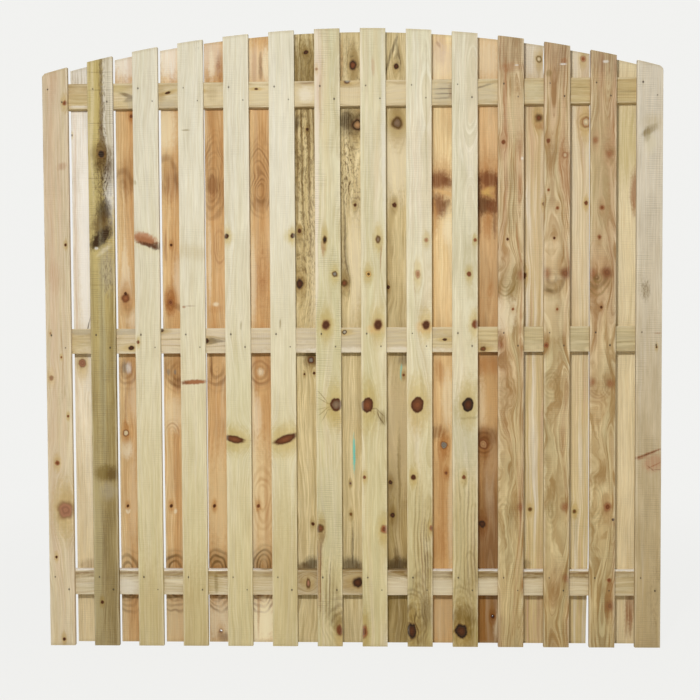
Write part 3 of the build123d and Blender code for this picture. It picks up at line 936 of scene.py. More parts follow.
            (20, 962, 13, "redKnot", {"heart": "darkKnot", "edge": 1.1}),
            (-6, 725, 20, "darkKnot", {"heart": "brownKnot", "soft": 0.12}), (-19, 510, 8, "darkKnot"),
            (35, 358, 7, "redKnot"),
            (-25, 47, 15, "blackKnot", {"tall": 1.7, "heart": "darkKnot", "soft": 0.25})],
        "stains": [
            (21, 1560, 2, 260, "oliveGrey", 0.6), (31, 1450, 5, 200, "pinkTan", 0.5),
            (-4, 1090, 1.5, 60, "redKnot", 0.4), (16, 955, 16, 16, "amberLow", 0.45),
            (0, 300, 50, 200, "oliveTan", 0.45, {"soft": 0.8}), (-14, 340, 2, 170, "oliveDark", 0.4),
            (-4, 300, 2.4, 190, "oliveDark", 0.45), (5, 280, 2, 170, "burntBrown", 0.5),
            (13, 250, 2.4, 150, "mouldBrown", 0.6), (20, 230, 2.2, 140, "mouldBrown", 0.65),
            (27, 270, 2.4, 170, "oliveDark", 0.5), (33, 300, 1.6, 180, "oliveDark", 0.35),
            (10, 60, 48, 120, "oliveLow", 0.7, {"soft": 0.7, "streaky": 0.2}),
            (12, 100, 20, 50, "mouldBrown", 0.6), (24, 40, 12, 30, "yellowOlive", 0.6)],
        "arches": [
            (-30, 44, 56, 150, 1, 7, "mouldBrown", 0.75), (-4, 120, 30, 130, 0, 4, "mouldBrown", 0.45)]},
    "front_paling_10": {
        "slot": "pale_timber", "upper": "paleGreen", "lower": "straw", "pith": (20, 45), "ringWidth": 5.5,
        "bands": ("pinkWhite", "greyGreen"), "band": 0.5, "lines": 0.5, "contrast": 0.5, "cloud": 0.18,
        "wiggle": 12.0,
        "knots": [
            (30, 1212, 5, "redKnot"), (12, 1112, 7, "brownKnot"),
            (30, 964, 11, "redKnot", {"heart": "brownKnot", "edge": 1.1}),
            (9, 725, 18, "blackKnot", {"heart": "darkKnot", "soft": 0.12}), (-4, 510, 6, "brownKnot"),
            (-12, 47, 20, "blackKnot", {"heart": "darkKnot", "soft": 0.2})],
        "stains": [
            (0, 1500, 30, 400, "greyGreen", 0.4, {"streaky": 0.9}),
            (24, 694, 20, 4, "oliveDark", 0.7, {"slant": 30}), (-16, 700, 14, 30, "oliveTan", 0.6),
            (0, 300, 50, 260, "oliveTan", 0.45), (-24, 360, 2, 190, "oliveDark", 0.4),
            (-13, 380, 2.4, 200, "oliveDark", 0.45), (-3, 330, 2, 200, "oliveDark", 0.45),
            (6, 340, 2.4, 220, "mouldBrown", 0.5), (16, 300, 2, 190, "oliveDark", 0.5),
            (25, 280, 2.2, 180, "mouldBrown", 0.5), (33, 360, 1.6, 180, "oliveDark", 0.35),
            (0, 650, 50, 120, "greyGreen", 0.6), (10, 60, 46, 110, "oliveLow", 0.7, {"soft": 0.7}),
            (-6, 96, 20, 30, "mouldBrown", 0.5), (26, 40, 10, 34, "yellowOlive", 0.6)],
        "arches": [
            (-14, 44, 58, 160, 1, 6, "oliveDark", 0.7), (14, 160, 26, 150, 0, 4, "oliveDark", 0.5)]},
    "front_paling_11": {
        **brownTimber, "pith": (15, 18), "contrast": 0.8,
        "knots": [
            (-22, 1498, 6, "brownKnot"), (-10, 1214, 4, "darkKnot"), (6, 1008, 4, "redKnot"),
            (34, 1108, 13, "redKnot", softRed), (-31, 902, 9, "redKnot", softRed),
            (30, 421, 10, "redKnot", softRed), (-16, 1088, 26, "redKnot", whorl),
            (-16, 790, 24, "redKnot", whorl), (-22, 390, 30, "redKnot", tallWhorl)],
        "stains": [
            (0, 1770, 50, 70, "dullKnot", 0.45), (0, 1716, 30, 14, "redStreak", 0.55),
            # painted highlights: the two resin spots are white glints on beads of resin, painted into the
            # colour
            (14, 1721, 5, 2.5, "paintedResinGlint", 0.9), (-16, 1605, 5, 120, "redStreak", 0.7),
            (-20, 1500, 6, 50, "redStreak", 0.5), (20, 1410, 14, 80, "redStreak", 0.5, {"streaky": 0.8}),
            (27, 1450, 3, 4, "paintedResinGlint", 0.9), (10, 1580, 24, 70, "sandTan", 0.5),
            (6, 1060, 2.5, 190, "redStreak", 0.6), (-20, 990, 14, 50, "sandCream", 0.7),
            (0, 1100, 50, 40, "oliveDark", 0.3), (30, 420, 12, 150, "redStreak", 0.45, {"streaky": 0.7}),
            (26, 215, 14, 60, "redStreak", 0.5)],
        "arches": [
            (-16, 1086, 34, 46, -1, 4, "oliveDark", 0.6), (-16, 790, 32, 46, -1, 4, "oliveDark", 0.4),
            (-22, 390, 30, 72, 0, 4, "oliveDark", 0.4)]},
    "front_paling_12": {
        **brownTimber, "pith": (-10, 20), "contrast": 0.75,
        "knots": [
            (-26, 1500, 6, "brownKnot"), (23, 1458, 9, "redKnot", {"strength": 0.7, "heart": "sandTan"}),
            (-25, 1357, 4, "redKnot"), (1, 1304, 5, "redKnot"), (-8, 1216, 4, "darkKnot"),
            (25, 1113, 14, "brownKnot", {"soft": 0.7, "strength": 0.9}),
            (-33, 1112, 15, "redKnot", softRed), (1, 1007, 4, "redKnot"), (-31, 901, 7, "redKnot"),
            (25, 421, 11, "redKnot", softRed), (32, 208, 11, "redKnot", softRed),
            (-14, 1100, 28, "redKnot", whorl), (-16, 785, 26, "redKnot", whorl),
            (-18, 400, 30, "redKnot", tallWhorl)],
        "stains": [
            (0, 1775, 50, 55, "dullKnot", 0.45), (16, 1732, 8, 8, "redKnot", 0.7),
            # painted highlight: the resin spot here is a white glint on resin, painted into the colour
            (14, 1722, 8, 2.5, "paintedResinGlint", 0.85), (-23, 1696, 8, 9, "oliveDark", 0.6),
            (16, 1420, 10, 90, "redStreak", 0.5), (1, 1080, 2.5, 170, "redStreak", 0.5),
            (-14, 1100, 9, 7, "sandCream", 0.3), (-10, 990, 20, 60, "sandTan", 0.4),
            (30, 330, 12, 170, "redStreak", 0.5, {"streaky": 0.7})],
        "arches": [
            (-14, 1098, 40, 46, -1, 1.6, "mouldBrown", 0.9), (-14, 1100, 42, 56, -1, 4, "oliveDark", 0.5),
            (-14, 1104, 22, 26, 0, 2, "sandCream", 0.3), (-16, 782, 34, 46, 0, 4, "oliveDark", 0.45),
            (-18, 410, 28, 72, 0, 4, "oliveDark", 0.45)]},
    "front_paling_13": {
        **brownTimber, "pith": (5, 22), "contrast": 0.75,
        "knots": [
            (-24, 1500, 8, "redKnot", softRed), (17, 1460, 9, "redKnot", softRed),
            (-4, 1304, 7, "redKnot", {"soft": 0.6}), (-11, 1218, 6, "redKnot", {"soft": 0.6}),
            (-32, 1112, 13, "redKnot", {"soft": 0.7, "strength": 0.75, "heart": "redKnot"}),
            (11, 1115, 14, "brownKnot", {"soft": 0.7, "strength": 0.9}), (-5, 1012, 4, "darkKnot"),
            (-32, 791, 9, "redKnot", softRed), (22, 788, 10, "redKnot", softRed),
            (16, 421, 12, "redKnot", {"soft": 0.6}), (32, 383, 4, "blackKnot"), (21, 202, 6, "redKnot"),
            (24, 125, 12, "redKnot", {"soft": 0.8, "strength": 0.75, "heart": "brownKnot"}),
            (-18, 1098, 26, "redKnot", whorl), (-14, 782, 26, "redKnot", whorl),
            (-20, 430, 28, "redKnot", tallWhorl)],
        "stains": [
            # painted highlight: the resin spot here is a white glint on resin, painted into the colour
            (0, 1745, 50, 50, "dullKnot", 0.5), (3, 1728, 7, 4, "paintedResinGlint", 0.8),
            (24, 350, 14, 150, "redStreak", 0.45), (22, 170, 14, 90, "redStreak", 0.4),
            (-12, 1420, 24, 190, "mossTan", 0.5)],
        "arches": [
            (-18, 1100, 36, 38, -1, 1.6, "mouldBrown", 0.65), (-14, 1098, 44, 60, -1, 4, "oliveDark", 0.5),
            (-14, 780, 36, 46, -1, 4, "brownKnot", 0.4), (-20, 430, 32, 80, 0, 4, "oliveDark", 0.5)]},
    "front_paling_14": {
        "slot": "grey_timber", "upper": "greyPink", "lower": "greyPinkLow", "pith": (90, 40),
        "ringWidth": 4, "saw": 0.2, "bands": ("greyWhite", "pinkTan"), "lines": 0.35, "contrast": 0.25,
        "cloud": 0.2, "knots": [(22, 894, 3, "darkKnot")],
        "stains": [
            (8, 1550, 28, 22, "oliveTan", 0.4, {"soft": 0.8}),
            (-2, 1528, 24, 10, "oliveDark", 0.75, {"slant": 32}), (-10, 1515, 9, 20, "oliveDark", 0.6),
            (0, 1490, 16, 30, "straw", 0.3), (-11, 1061, 14, 30, "mouldBrown", 0.85, {"flecked": 0.8}),
            (-11, 1061, 12, 24, "oliveDark", 0.4), (26, 935, 10, 2, "redKnot", 0.7),
            (14, 552, 28, 24, "redSmear", 0.85, {"slant": 22, "streaky": 0.5}),
            (18, 545, 22, 2, "redKnot", 0.7, {"slant": 26}),
            (6, 536, 12, 2, "brownKnot", 0.6, {"slant": -40}), (26, 532, 12, 1.6, "brownKnot", 0.6),
            (-24, 567, 14, 6, "redKnot", 0.8, {"slant": 8}),
            (2, 580, 38, 4, "redKnot", 0.9, {"slant": 21}),
            (0, 579, 36, 1.6, "darkKnot", 0.8, {"slant": 21}),
            (20, 150, 18, 120, "mouldBrown", 0.22, {"flecked": 0.9})]},
}

orangeTimber = {  # what the wide-ringed orange boards share
    "slot": "orange_timber", "lines": 0.55, "cloud": 0.24, "wiggle": 9.0,
    "bands": ("orangeDeep", "sapCream"),
    "band": 0.3, "lateTint": (0.68, 0.46, 0.27, 1.0), "haloTint": (0.70, 0.48, 0.28, 1.0)}
oliveTimber = {  # and the olive ones, flecked with mould
    "slot": "olive_timber", "lines": 0.6, "cloud": 0.24, "wiggle": 10.0, "bands": ("oliveDark", "sapCream"),
    "band": 0.22, "lateTint": (0.52, 0.42, 0.25, 1.0), "haloTint": (0.60, 0.50, 0.32, 1.0)}

backPalings = {
    "back_paling_01": {
        "slot": "pale_timber", "upper": "sapWhite", "lower": "creamLow", "pith": (80, 30), "ringWidth": 7,
        "bands": ("whiteStreak", "pinkTan"), "band": 0.4, "lines": 0.5, "contrast": 0.45, "cloud": 0.2,
        "arches": [(-14, 853, 27, 27, 0, 2, "brownKnot", 0.4)],
        "knots": [
            (-36, 1540, 3, "darkKnot"), (-14, 853, 12, "brownKnot", {"heart": "rustKnot", "edge": 1.0})],
        "stains": [
            (4, 1180, 22, 330, "sapWhite", 0.75), (-28, 1200, 4, 450, "pinkStreak", 0.4),
            (-5, 1725, 40, 60, "railGrey", 0.6, {"streaky": 0.95}), (14, 1720, 3, 50, "mould", 0.35),
            (2, 959, 1.6, 30, "mould", 0.8, {"slant": -14}),
            (0, 236, 40, 16, "burntBrown", 0.55, {"streaky": 0.8})]},
    "back_paling_02": {
        **orangeTimber, "upper": "orangeTan", "lower": "orangeTan", "heart": "orangeHeart",
        "heartEdge": 46, "heartSoft": 16, "pith": (30, 22), "ringWidth": 7, "contrast": 0.5,
        "knots": [
            (10, 1595, 5, "brownKnot"), (-14, 1049, 12, "brownKnot", {"heart": "redKnot"}),
            (-14, 1063, 5, "darkKnot"), (-18, 640, 9, "brownKnot", {"heart": "sandTan", "edge": 0.9}),
            (-15, 417, 4, "darkKnot")],
        "stains": [
            (-6, 1768, 44, 66, "whiteStreak", 0.95, {"streaky": 0.3}),
            (12, 1760, 12, 60, "pinkStreak", 0.4), (-4, 1420, 26, 44, "brownHeart", 0.5),
            (-10, 1380, 18, 40, "burntBrown", 0.35, {"streaky": 0.8}), (-14, 1130, 8, 90, "sapCream", 0.6),
            (4, 985, 16, 30, "sapCream", 0.6), (-14, 838, 22, 34, "brownHeart", 0.55),
            # painted highlight: the resin spot here is a white glint, painted into the colour
            (-19, 840, 8, 18, "greyKnot", 0.85), (-8, 838, 7, 16, "paintedResinGlint", 0.75),
            (-16, 740, 3, 60, "redStreak", 0.6), (6, 740, 14, 60, "sapCream", 0.35),
            (-17, 590, 12, 26, "sapCream", 0.7), (-15, 401, 5, 7, "sapCream", 0.9),
            (0, 450, 12, 130, "yellowCream", 0.35)],
        "arches": [
            (-16, 1390, 40, 60, 1, 1.6, "burntBrown", 0.5), (-8, 1022, 26, 30, -1, 1.2, "oliveDark", 0.35),
            (-12, 832, 42, 60, -1, 3, "brownKnot", 0.35), (-14, 226, 44, 54, 1, 3, "mouldBrown", 0.6),
            (-20, 165, 64, 76, -1, 4.5, "burntBrown", 0.75)]},
    "back_paling_03": {
        **orangeTimber, "upper": "orangeTan", "lower": "orangeTan", "heart": "orangeHeart",
        "heartEdge": 34, "heartSoft": 14, "pith": (20, 14), "ringWidth": 7, "contrast": 0.5,
        "knots": [(-10, 1208, 4, "darkKnot"), (-14, 1036, 8, "redKnot"), (-19, 417, 5, "darkKnot")],
        "stains": [
            (-8, 1768, 36, 66, "whiteStreak", 0.9, {"streaky": 0.3}),
            (22, 1750, 12, 60, "orangePale", 0.6), (-12, 236, 34, 34, "brownHeart", 0.55),
            (-20, 1560, 28, 70, "yellowCream", 0.75),
            (-15, 1405, 30, 70, "brownHeart", 0.5, {"soft": 0.4}), (-10, 1390, 16, 50, "redSmear", 0.3),
            (-25, 1199, 4, 50, "redStreak", 0.6), (8, 1100, 14, 70, "sapCream", 0.5),
            (-14, 1042, 16, 42, "orangeDeep", 0.7), (4, 1022, 20, 9, "burntBrown", 0.5, {"slant": -25}),
            (-6, 835, 40, 40, "brownHeart", 0.65), (-23, 825, 5, 9, "greyKnot", 0.85),
            (-2, 825, 4, 7, "greyKnot", 0.8),
            (12, 792, 20, 20, "burntBrown", 0.7, {"slant": 25, "soft": 0.8}),
            (-5, 700, 30, 50, "yellowCream", 0.6), (-10, 401, 5, 7, "sapCream", 0.9),
            (0, 66, 46, 70, "sandTan", 0.75)],
        "arches": [
            (-26, 1390, 44, 92, 1, 1.5, "burntBrown", 0.7), (-14, 1042, 16, 44, 0, 2, "redStreak", 0.6),
            (6, 832, 44, 66, -1, 3, "burntBrown", 0.6), (-12, 640, 26, 42, 1, 3, "redStreak", 0.55),
            (-12, 224, 42, 56, 1, 3, "mouldBrown", 0.75), (-10, 165, 66, 76, -1, 4.5, "burntBrown", 0.9)]},
    "back_paling_04": {
        **orangeTimber, "upper": "orangeTan", "lower": "orangeTan", "heart": "orangeHeart",
        "heartEdge": 44, "heartSoft": 12, "pith": (4, 12), "ringWidth": 6, "contrast": 0.6,
        "knots": [(-19, 417, 5, "darkKnot"), (-3, 33, 7, "tanKnot", {"strength": 0.6})],
        "stains": [
            (-12, 232, 34, 44, "brownLow", 0.9), (-10, 1430, 40, 110, "brownHeart", 0.35),
            (-12, 1772, 30, 55, "pinkWhite", 0.7), (-14, 1745, 8, 44, "sapCream", 0.7),
            (12, 1735, 12, 44, "redStreak", 0.85, {"flecked": 0.3, "streaky": 0.5}),
            (-14, 1385, 22, 26, "burntBrown", 0.6), (-12, 1380, 12, 40, "redStreak", 0.4),
            (-26, 1150, 5, 120, "sapCream", 0.6), (-7, 1015, 20, 12, "orangeDeep", 0.4),
            (-7, 1029, 8, 6, "sapCream", 0.85), (0, 845, 30, 30, "amberLow", 0.4),
            (-24, 842, 3, 40, "burntBrown", 0.8), (0, 430, 44, 150, "amber", 0.55),
            (0, 66, 46, 70, "sandCream", 0.85), (4, 14, 12, 16, "burntBrown", 0.6)],
        "arches": [
            (-14, 1390, 44, 150, 1, 7, "burntBrown", 0.45), (-14, 1360, 46, 90, -1, 4, "burntBrown", 0.35),
            (4, 1200, 22, 62, 0, 3, "redStreak", 0.5), (-8, 832, 46, 62, -1, 3, "burntBrown", 0.45),
            (-12, 224, 42, 64, 1, 3.4, "mouldBrown", 0.8), (-12, 165, 66, 72, -1, 4.5, "burntBrown", 0.9)]},
    "back_paling_05": {
        **orangeTimber, "upper": "orangeTan", "lower": "sapCream", "heart": "orangeHeart", "heartEdge": 27,
        "heartSoft": 10, "pith": (6, 12), "ringWidth": 6, "contrast": 0.6,
        "knots": [(-16, 417, 5, "brownKnot")],
        "stains": [
            (-2, 234, 32, 48, "brownLow", 0.9), (0, 1430, 40, 110, "brownHeart", 0.3),
            (-6, 1740, 40, 54, "sapCream", 0.6), (-17, 1739, 8, 50, "redSmear", 0.5),
            (3, 1755, 5, 22, "burntBrown", 0.8), (3, 1720, 6, 20, "burntBrown", 0.8),
            (20, 1739, 10, 50, "yellowCream", 0.7), (0, 1330, 30, 14, "burntBrown", 0.2),
            (2, 1110, 16, 100, "redStreak", 0.65, {"flecked": 0.4}), (-24, 1100, 8, 110, "sapCream", 0.5),
            (-6, 824, 9, 10, "sapCream", 0.7), (-16, 690, 12, 60, "sapCream", 0.6),
            (6, 690, 12, 70, "orangeDeep", 0.4), (-10, 440, 36, 170, "amber", 0.75),
            (8, 420, 7, 130, "orangeDeep", 0.5), (0, 66, 46, 74, "warmCream", 0.95, {"streaky": 0.1}),
            (-18, 90, 4, 60, "orangeDeep", 0.6)],
        "arches": [
            (-2, 1370, 46, 160, 1, 8, "burntBrown", 0.5), (-2, 1360, 46, 70, -1, 3.4, "burntBrown", 0.45),
            (-6, 824, 38, 46, 0, 3, "redStreak", 0.6), (-4, 832, 46, 62, -1, 3, "burntBrown", 0.35),
            (-2, 440, 40, 120, 0, 4, "orangeDeep", 0.5), (-2, 224, 42, 72, 1, 4, "mouldBrown", 0.75),
            (-14, 165, 66, 72, -1, 4.5, "brownKnot", 0.9)]},
    "back_paling_06": {
        **oliveTimber, "upper": "oliveSapLow", "lower": "oliveSapLow", "pith": (-40, 40), "ringWidth": 10,
        "contrast": 0.7,
        "knots": [
            (3, 1778, 8, "blackKnot", {"tall": 0.8, "slant": 20}), (5, 1550, 4, "blackKnot"),
            (-20, 1247, 6, "darkKnot"), (-21, 1088, 11, "blackKnot", {"tall": 1.4}),
            (12, 859, 10, "darkKnot", {"heart": "greyKnot"}), (-8, 817, 3, "darkKnot"),
            (21, 820, 4, "darkKnot"), (15, 362, 5, "darkKnot")],
        "stains": [
            (18, 1200, 14, 250, "sapCream", 0.5),
            (-25, 1560, 3.5, 330, "mouldBrown", 0.85, {"streaky": 0.2}),
            (-11, 1540, 3, 360, "mouldBrown", 0.9, {"streaky": 0.2}),
            (8, 1540, 4, 300, "mouldBrown", 0.9, {"streaky": 0.2}),
            (22, 1640, 3.5, 230, "mouldBrown", 0.85, {"streaky": 0.2}),
            (0, 1740, 40, 80, "oliveDark", 0.85), (0, 1420, 44, 380, "oliveTan", 0.4),
            (0, 1400, 40, 400, "mouldBrown", 0.65, {"flecked": 1.0}), (-24, 1569, 8, 20, "mould", 0.7),
            (10, 862, 16, 20, "mouldBrown", 0.6), (10, 238, 22, 22, "mould", 0.8, {"streaky": 0.1}),
            (-14, 232, 18, 12, "mouldBrown", 0.6, {"streaky": 0.1})]},
    "back_paling_07": {
        **oliveTimber, "upper": "oliveSap", "lower": "oliveSapLow", "pith": (30, 30), "ringWidth": 8,
        "contrast": 0.5,
        "knots": [
            (8, 1738, 11, "blackKnot", {"tall": 1.4, "heart": "brownKnot"}),
            (20, 1561, 16, "mould", {"heart": "tanKnot", "soft": 0.25}), (12, 1323, 5, "darkKnot"),
            (-21, 1090, 10, "mouldBrown", {"heart": "brownKnot"}), (-6, 486, 3.5, "greyKnot"),
            (-5, 392, 5, "oliveDark")],
        "stains": [
            (-22, 1730, 8, 70, "orangeDeep", 0.4), (0, 1720, 40, 90, "mould", 0.42, {"flecked": 1.0}),
            (8, 1568, 32, 34, "mould", 0.85, {"soft": 0.6}), (-8, 1580, 22, 26, "mould", 0.6),
            (-10, 1430, 20, 120, "mouldBrown", 0.85, {"flecked": 1.0, "slant": -6}),
            (14, 1400, 22, 120, "mouldBrown", 0.55, {"flecked": 1.0}),
            (10, 1150, 18, 150, "sapCream", 0.5),
            (-22, 1180, 10, 110, "mouldBrown", 0.6, {"flecked": 0.5}), (-16, 1220, 3, 160, "mould", 0.5),
            (5, 575, 3.4, 50, "turquoise", 0.95, {"streaky": 0.1}), (1, 290, 3, 60, "mould", 0.6),
            (-4, 238, 30, 22, "mould", 0.7, {"streaky": 0.1}), (22, 232, 16, 12, "mouldBrown", 0.6)]},
    "back_paling_08": {
        **oliveTimber, "upper": "oliveSap", "lower": "oliveTan", "pith": (-30, 40), "ringWidth": 8,
        "contrast": 0.3,
        "knots": [
            (2, 1733, 8, "blackKnot"), (4, 1565, 17, "mouldBrown", {"heart": "dullKnot", "soft": 0.3}),
            (-5, 1322, 7, "darkKnot"), (-24, 1077, 5, "blackKnot"), (21, 813, 4, "brownKnot"),
            (-20, 489, 6, "blackKnot"), (-14, 389, 7, "blackKnot")],
        "stains": [
            (0, 1775, 50, 60, "oliveDark", 0.28, {"streaky": 0.8}),
            (-8, 1770, 4, 60, "mould", 0.7, {"slant": -14}), (4, 1770, 3, 50, "mould", 0.6),
            (4, 1562, 28, 30, "yellowOlive", 0.6), (0, 1450, 44, 110, "sapCream", 0.6),
            (20, 858, 14, 16, "mould", 0.7), (0, 640, 46, 190, "sandTan", 0.5),
            (14, 822, 3, 22, "turquoise", 0.8), (4, 520, 5, 110, "oliveDark", 0.7),
            (-12, 430, 20, 120, "oliveDark", 0.25),
            (2, 238, 34, 22, "mould", 0.8, {"streaky": 0.1, "slant": 8}),
            (-4, 262, 8, 30, "mouldBrown", 0.5), (0, 90, 40, 90, "oliveDark", 0.4, {"streaky": 0.9})]},
    "back_paling_09": {
        **orangeTimber, "upper": "amber", "lower": "amberLow", "pith": (30, 26), "ringWidth": 8,
        "contrast": 0.4, "lines": 0.4,
        "knots": [
            (7, 601, 10, "brownKnot", {"heart": "greyKnot", "edge": 1.0}), (13, 517, 5, "redKnot")],
        "stains": [
            (-6, 1780, 18, 44, "redSmear", 0.5), (-8, 1796, 4, 10, "redKnot", 0.7, {"slant": 30}),
            (-4, 1386, 42, 60, "orangeDeep", 0.8, {"soft": 0.7}),
            (-10, 1396, 32, 24, "brownKnot", 0.9, {"slant": 14, "streaky": 0.2}),
            (20, 1388, 20, 12, "brownKnot", 0.8, {"slant": -24, "streaky": 0.2}),
            (8, 1358, 28, 6, "amberLow", 0.9, {"slant": -16, "streaky": 0.4}),
            (-10, 1318, 36, 30, "brownKnot", 0.95, {"slant": -28, "soft": 0.5, "streaky": 0.2}),
            (-22, 1278, 14, 46, "orangeDeep", 0.8), (16, 1325, 14, 10, "burntBrown", 0.6, {"slant": 30}),
            (22, 1272, 10, 44, "amber", 0.8), (20, 1245, 14, 40, "sapCream", 0.6),
            (0, 80, 44, 80, "sandTan", 0.4), (0, 1740, 44, 60, "pinkWhite", 0.5),
            (-22, 1100, 9, 200, "amberLow", 0.7), (-4, 821, 14, 40, "orangeDeep", 0.7, {"slant": 12}),
            (16, 740, 14, 80, "yellowCream", 0.7), (-10, 640, 20, 22, "burntBrown", 0.6, {"slant": -30}),
            (4, 470, 12, 180, "orangeDeep", 0.5, {"streaky": 0.6}), (26, 400, 8, 200, "yellowCream", 0.5),
            (-8, 300, 22, 60, "orangeDeep", 0.5)]},
    "back_paling_10": {
        **orangeTimber, "upper": "orangePale", "lower": "brownLow", "pith": (10, 20), "ringWidth": 8,
        "contrast": 0.4, "lines": 0.4, "arches": [(-9, 608, 34, 40, 0, 3, "burntBrown", 0.7)],
        "knots": [
            (-10, 604, 13, "brownKnot", {"heart": "tanKnot", "edge": 0.9}), (-13, 362, 10, "blackKnot"),
            (18, 81, 6, "darkKnot")],
        "stains": [
            (0, 1370, 44, 80, "orangeDeep", 0.9, {"soft": 0.7}),
            (6, 1396, 36, 24, "brownKnot", 0.95, {"slant": -10, "streaky": 0.2}),
            (-28, 1362, 13, 44, "darkKnot", 0.85, {"streaky": 0.2}),
            (33, 1350, 9, 48, "darkKnot", 0.8, {"streaky": 0.2}),
            (4, 1362, 18, 9, "yellowKnot", 0.95, {"slant": 30, "streaky": 0.5}),
            (2, 1352, 18, 5, "yellowKnot", 0.9, {"slant": -30, "streaky": 0.5}),
            (-10, 1318, 30, 26, "darkKnot", 0.9, {"slant": 24, "soft": 0.5, "streaky": 0.2}),
            (20, 1312, 20, 20, "brownKnot", 0.9, {"slant": -30}), (-24, 1262, 8, 50, "burntBrown", 0.7),
            (24, 1268, 6, 46, "burntBrown", 0.7), (2, 1258, 12, 40, "orangeDeep", 0.7),
            (0, 1750, 44, 60, "sandCream", 0.6), (6, 740, 34, 100, "amberLow", 0.6),
            (13, 1066, 10, 22, "orangeDeep", 0.5), (6, 840, 30, 26, "orangeDeep", 0.7),
            (-16, 720, 12, 80, "yellowCream", 0.5), (0, 628, 30, 24, "burntBrown", 0.7),
            (0, 330, 44, 150, "burntBrown", 0.4), (28, 55, 8, 40, "yellowCream", 0.6)]},
    "back_paling_11": {
        "slot": "tan_timber", "upper": "sandTan", "lower": "sandLow", "pith": (40, 30), "ringWidth": 8,
        "contrast": 0.8, "bands": ("pinkStreak", "whiteStreak"), "band": 0.8, "lines": 0.5, "cloud": 0.16,
        "edges": [(1, 1745, 6.0, 55)],
        "knots": [
            (20, 1748, 9, "oliveDark", {"heart": "sandTan"}), (20, 1576, 11, "mouldBrown", {"soft": 0.6}),
            (36, 1321, 6, "brownKnot"), (-25, 1108, 9, "darkKnot", {"heart": "brownKnot"}),
            (-5, 407, 6, "oliveDark")],
        "stains": [
            (0, 1755, 46, 60, "greyWhite", 0.6), (26, 1551, 8, 12, "redSmear", 0.7),
            (-20, 240, 16, 16, "mouldBrown", 0.6)]},
    "back_paling_12": {
        "slot": "tan_timber", "upper": "sandCream", "lower": "sandLow", "pith": (60, 30), "ringWidth": 7,
        "contrast": 0.7, "bands": ("pinkStreak", "whiteStreak"), "band": 0.65, "lines": 0.45,
        "cloud": 0.16, "edges": [(1, -20, 7.0, 210)],
        "stains": [(0, 1755, 40, 60, "greyPink", 0.5), (0, 330, 5, 60, "oliveGrey", 0.5)],
        "arches": [(24, 1562, 26, 28, 0, 2.5, "tanKnot", 0.6)],
        "knots": [
            (18, 1747, 8, "redSmear", {"heart": "redKnot"}),
            (27, 1562, 14, "tanKnot", {"heart": "sandTan", "soft": 0.2}), (28, 1323, 6, "brownKnot"),
            (-4, 401, 6, "oliveDark")]},
    "back_paling_13": {
        "slot": "tan_timber", "upper": "yellowCream", "lower": "creamLow", "pith": (-50, 30),
        "ringWidth": 7, "contrast": 0.4, "bands": ("sandCream", "straw"), "band": 0.35, "lines": 0.5,
        "cloud": 0.18, "edges": [(-1, 1722, 5.0, 9), (-1, 1703, 3.0, 5), (-1, 1735, 3.0, 4)],
        "stains": [
            (0, 1500, 44, 110, "yellowOlive", 0.6), (31, 1355, 13, 60, "redStreak", 0.95),
            (20, 110, 14, 48, "redStreak", 0.85), (22, 70, 5, 44, "redStreak", 0.8),
            # painted highlight: the resin spot here is a white glint, painted into the colour
            (10, 60, 6, 40, "redStreak", 0.5), (-34, 1480, 3, 4, "paintedResinGlint", 0.8)]},
}
palingSize = {"width": 75.0, "thickness": 16.0, "arris": 0.8, "low": 0.0, "keep": 1690.0}
# across, height, radius
knotHoles = {"back_paling_04": (-3.0, 33.0, 4.5), "back_paling_10": (18.0, 81.0, 2.75)}
palingSides = {-1: frontPalings, 1: backPalings}  # the way each set faces along Y
firstSeed = {-1: 0, 1: 20}

for side, palings in palingSides.items():
    for number, (name, look) in enumerate(palings.items(), 1):
        low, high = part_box(name)
        middle = (low + high) / 2 * mm
        holes = []
        for level in railLevels.values():
            for sign in (-1, 1):
                holes.append({"across": sign * nails["across"], "height": level - sign * nails["up"],
                              "half": nails["half"], "face": 0, "round": False})
        if name in knotHoles:
            across, height, radius = knotHoles[name]
            holes.append({"across": across, "height": height, "half": radius, "face": 0, "round": True})
        shape = {
            **palingSize, "chips": look.get("chips", []), "edges": look.get("edges", []),
            "end": lambda x, at=middle.x: bowAt(np.clip(x + at, -panelHalf, panelHalf))}
        seed = number + firstSeed[side]
        dished = [knot for knot in look.get("knots", []) if knot[2] < boardRelief["widestDish"]]
        paling = sawnBoard(name.replace("_paling", "Paling"), shape, holes, dished, seed)
        paling.location = Vector((middle.x, middle.y, 0)) / mm
        paling.data.materials.append(timber(name.replace("_paling", "Timber"), look, seed, side))
        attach(paling, "root")
        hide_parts(name)
print("palings made:", len(frontPalings), "front and", len(backPalings), "back")

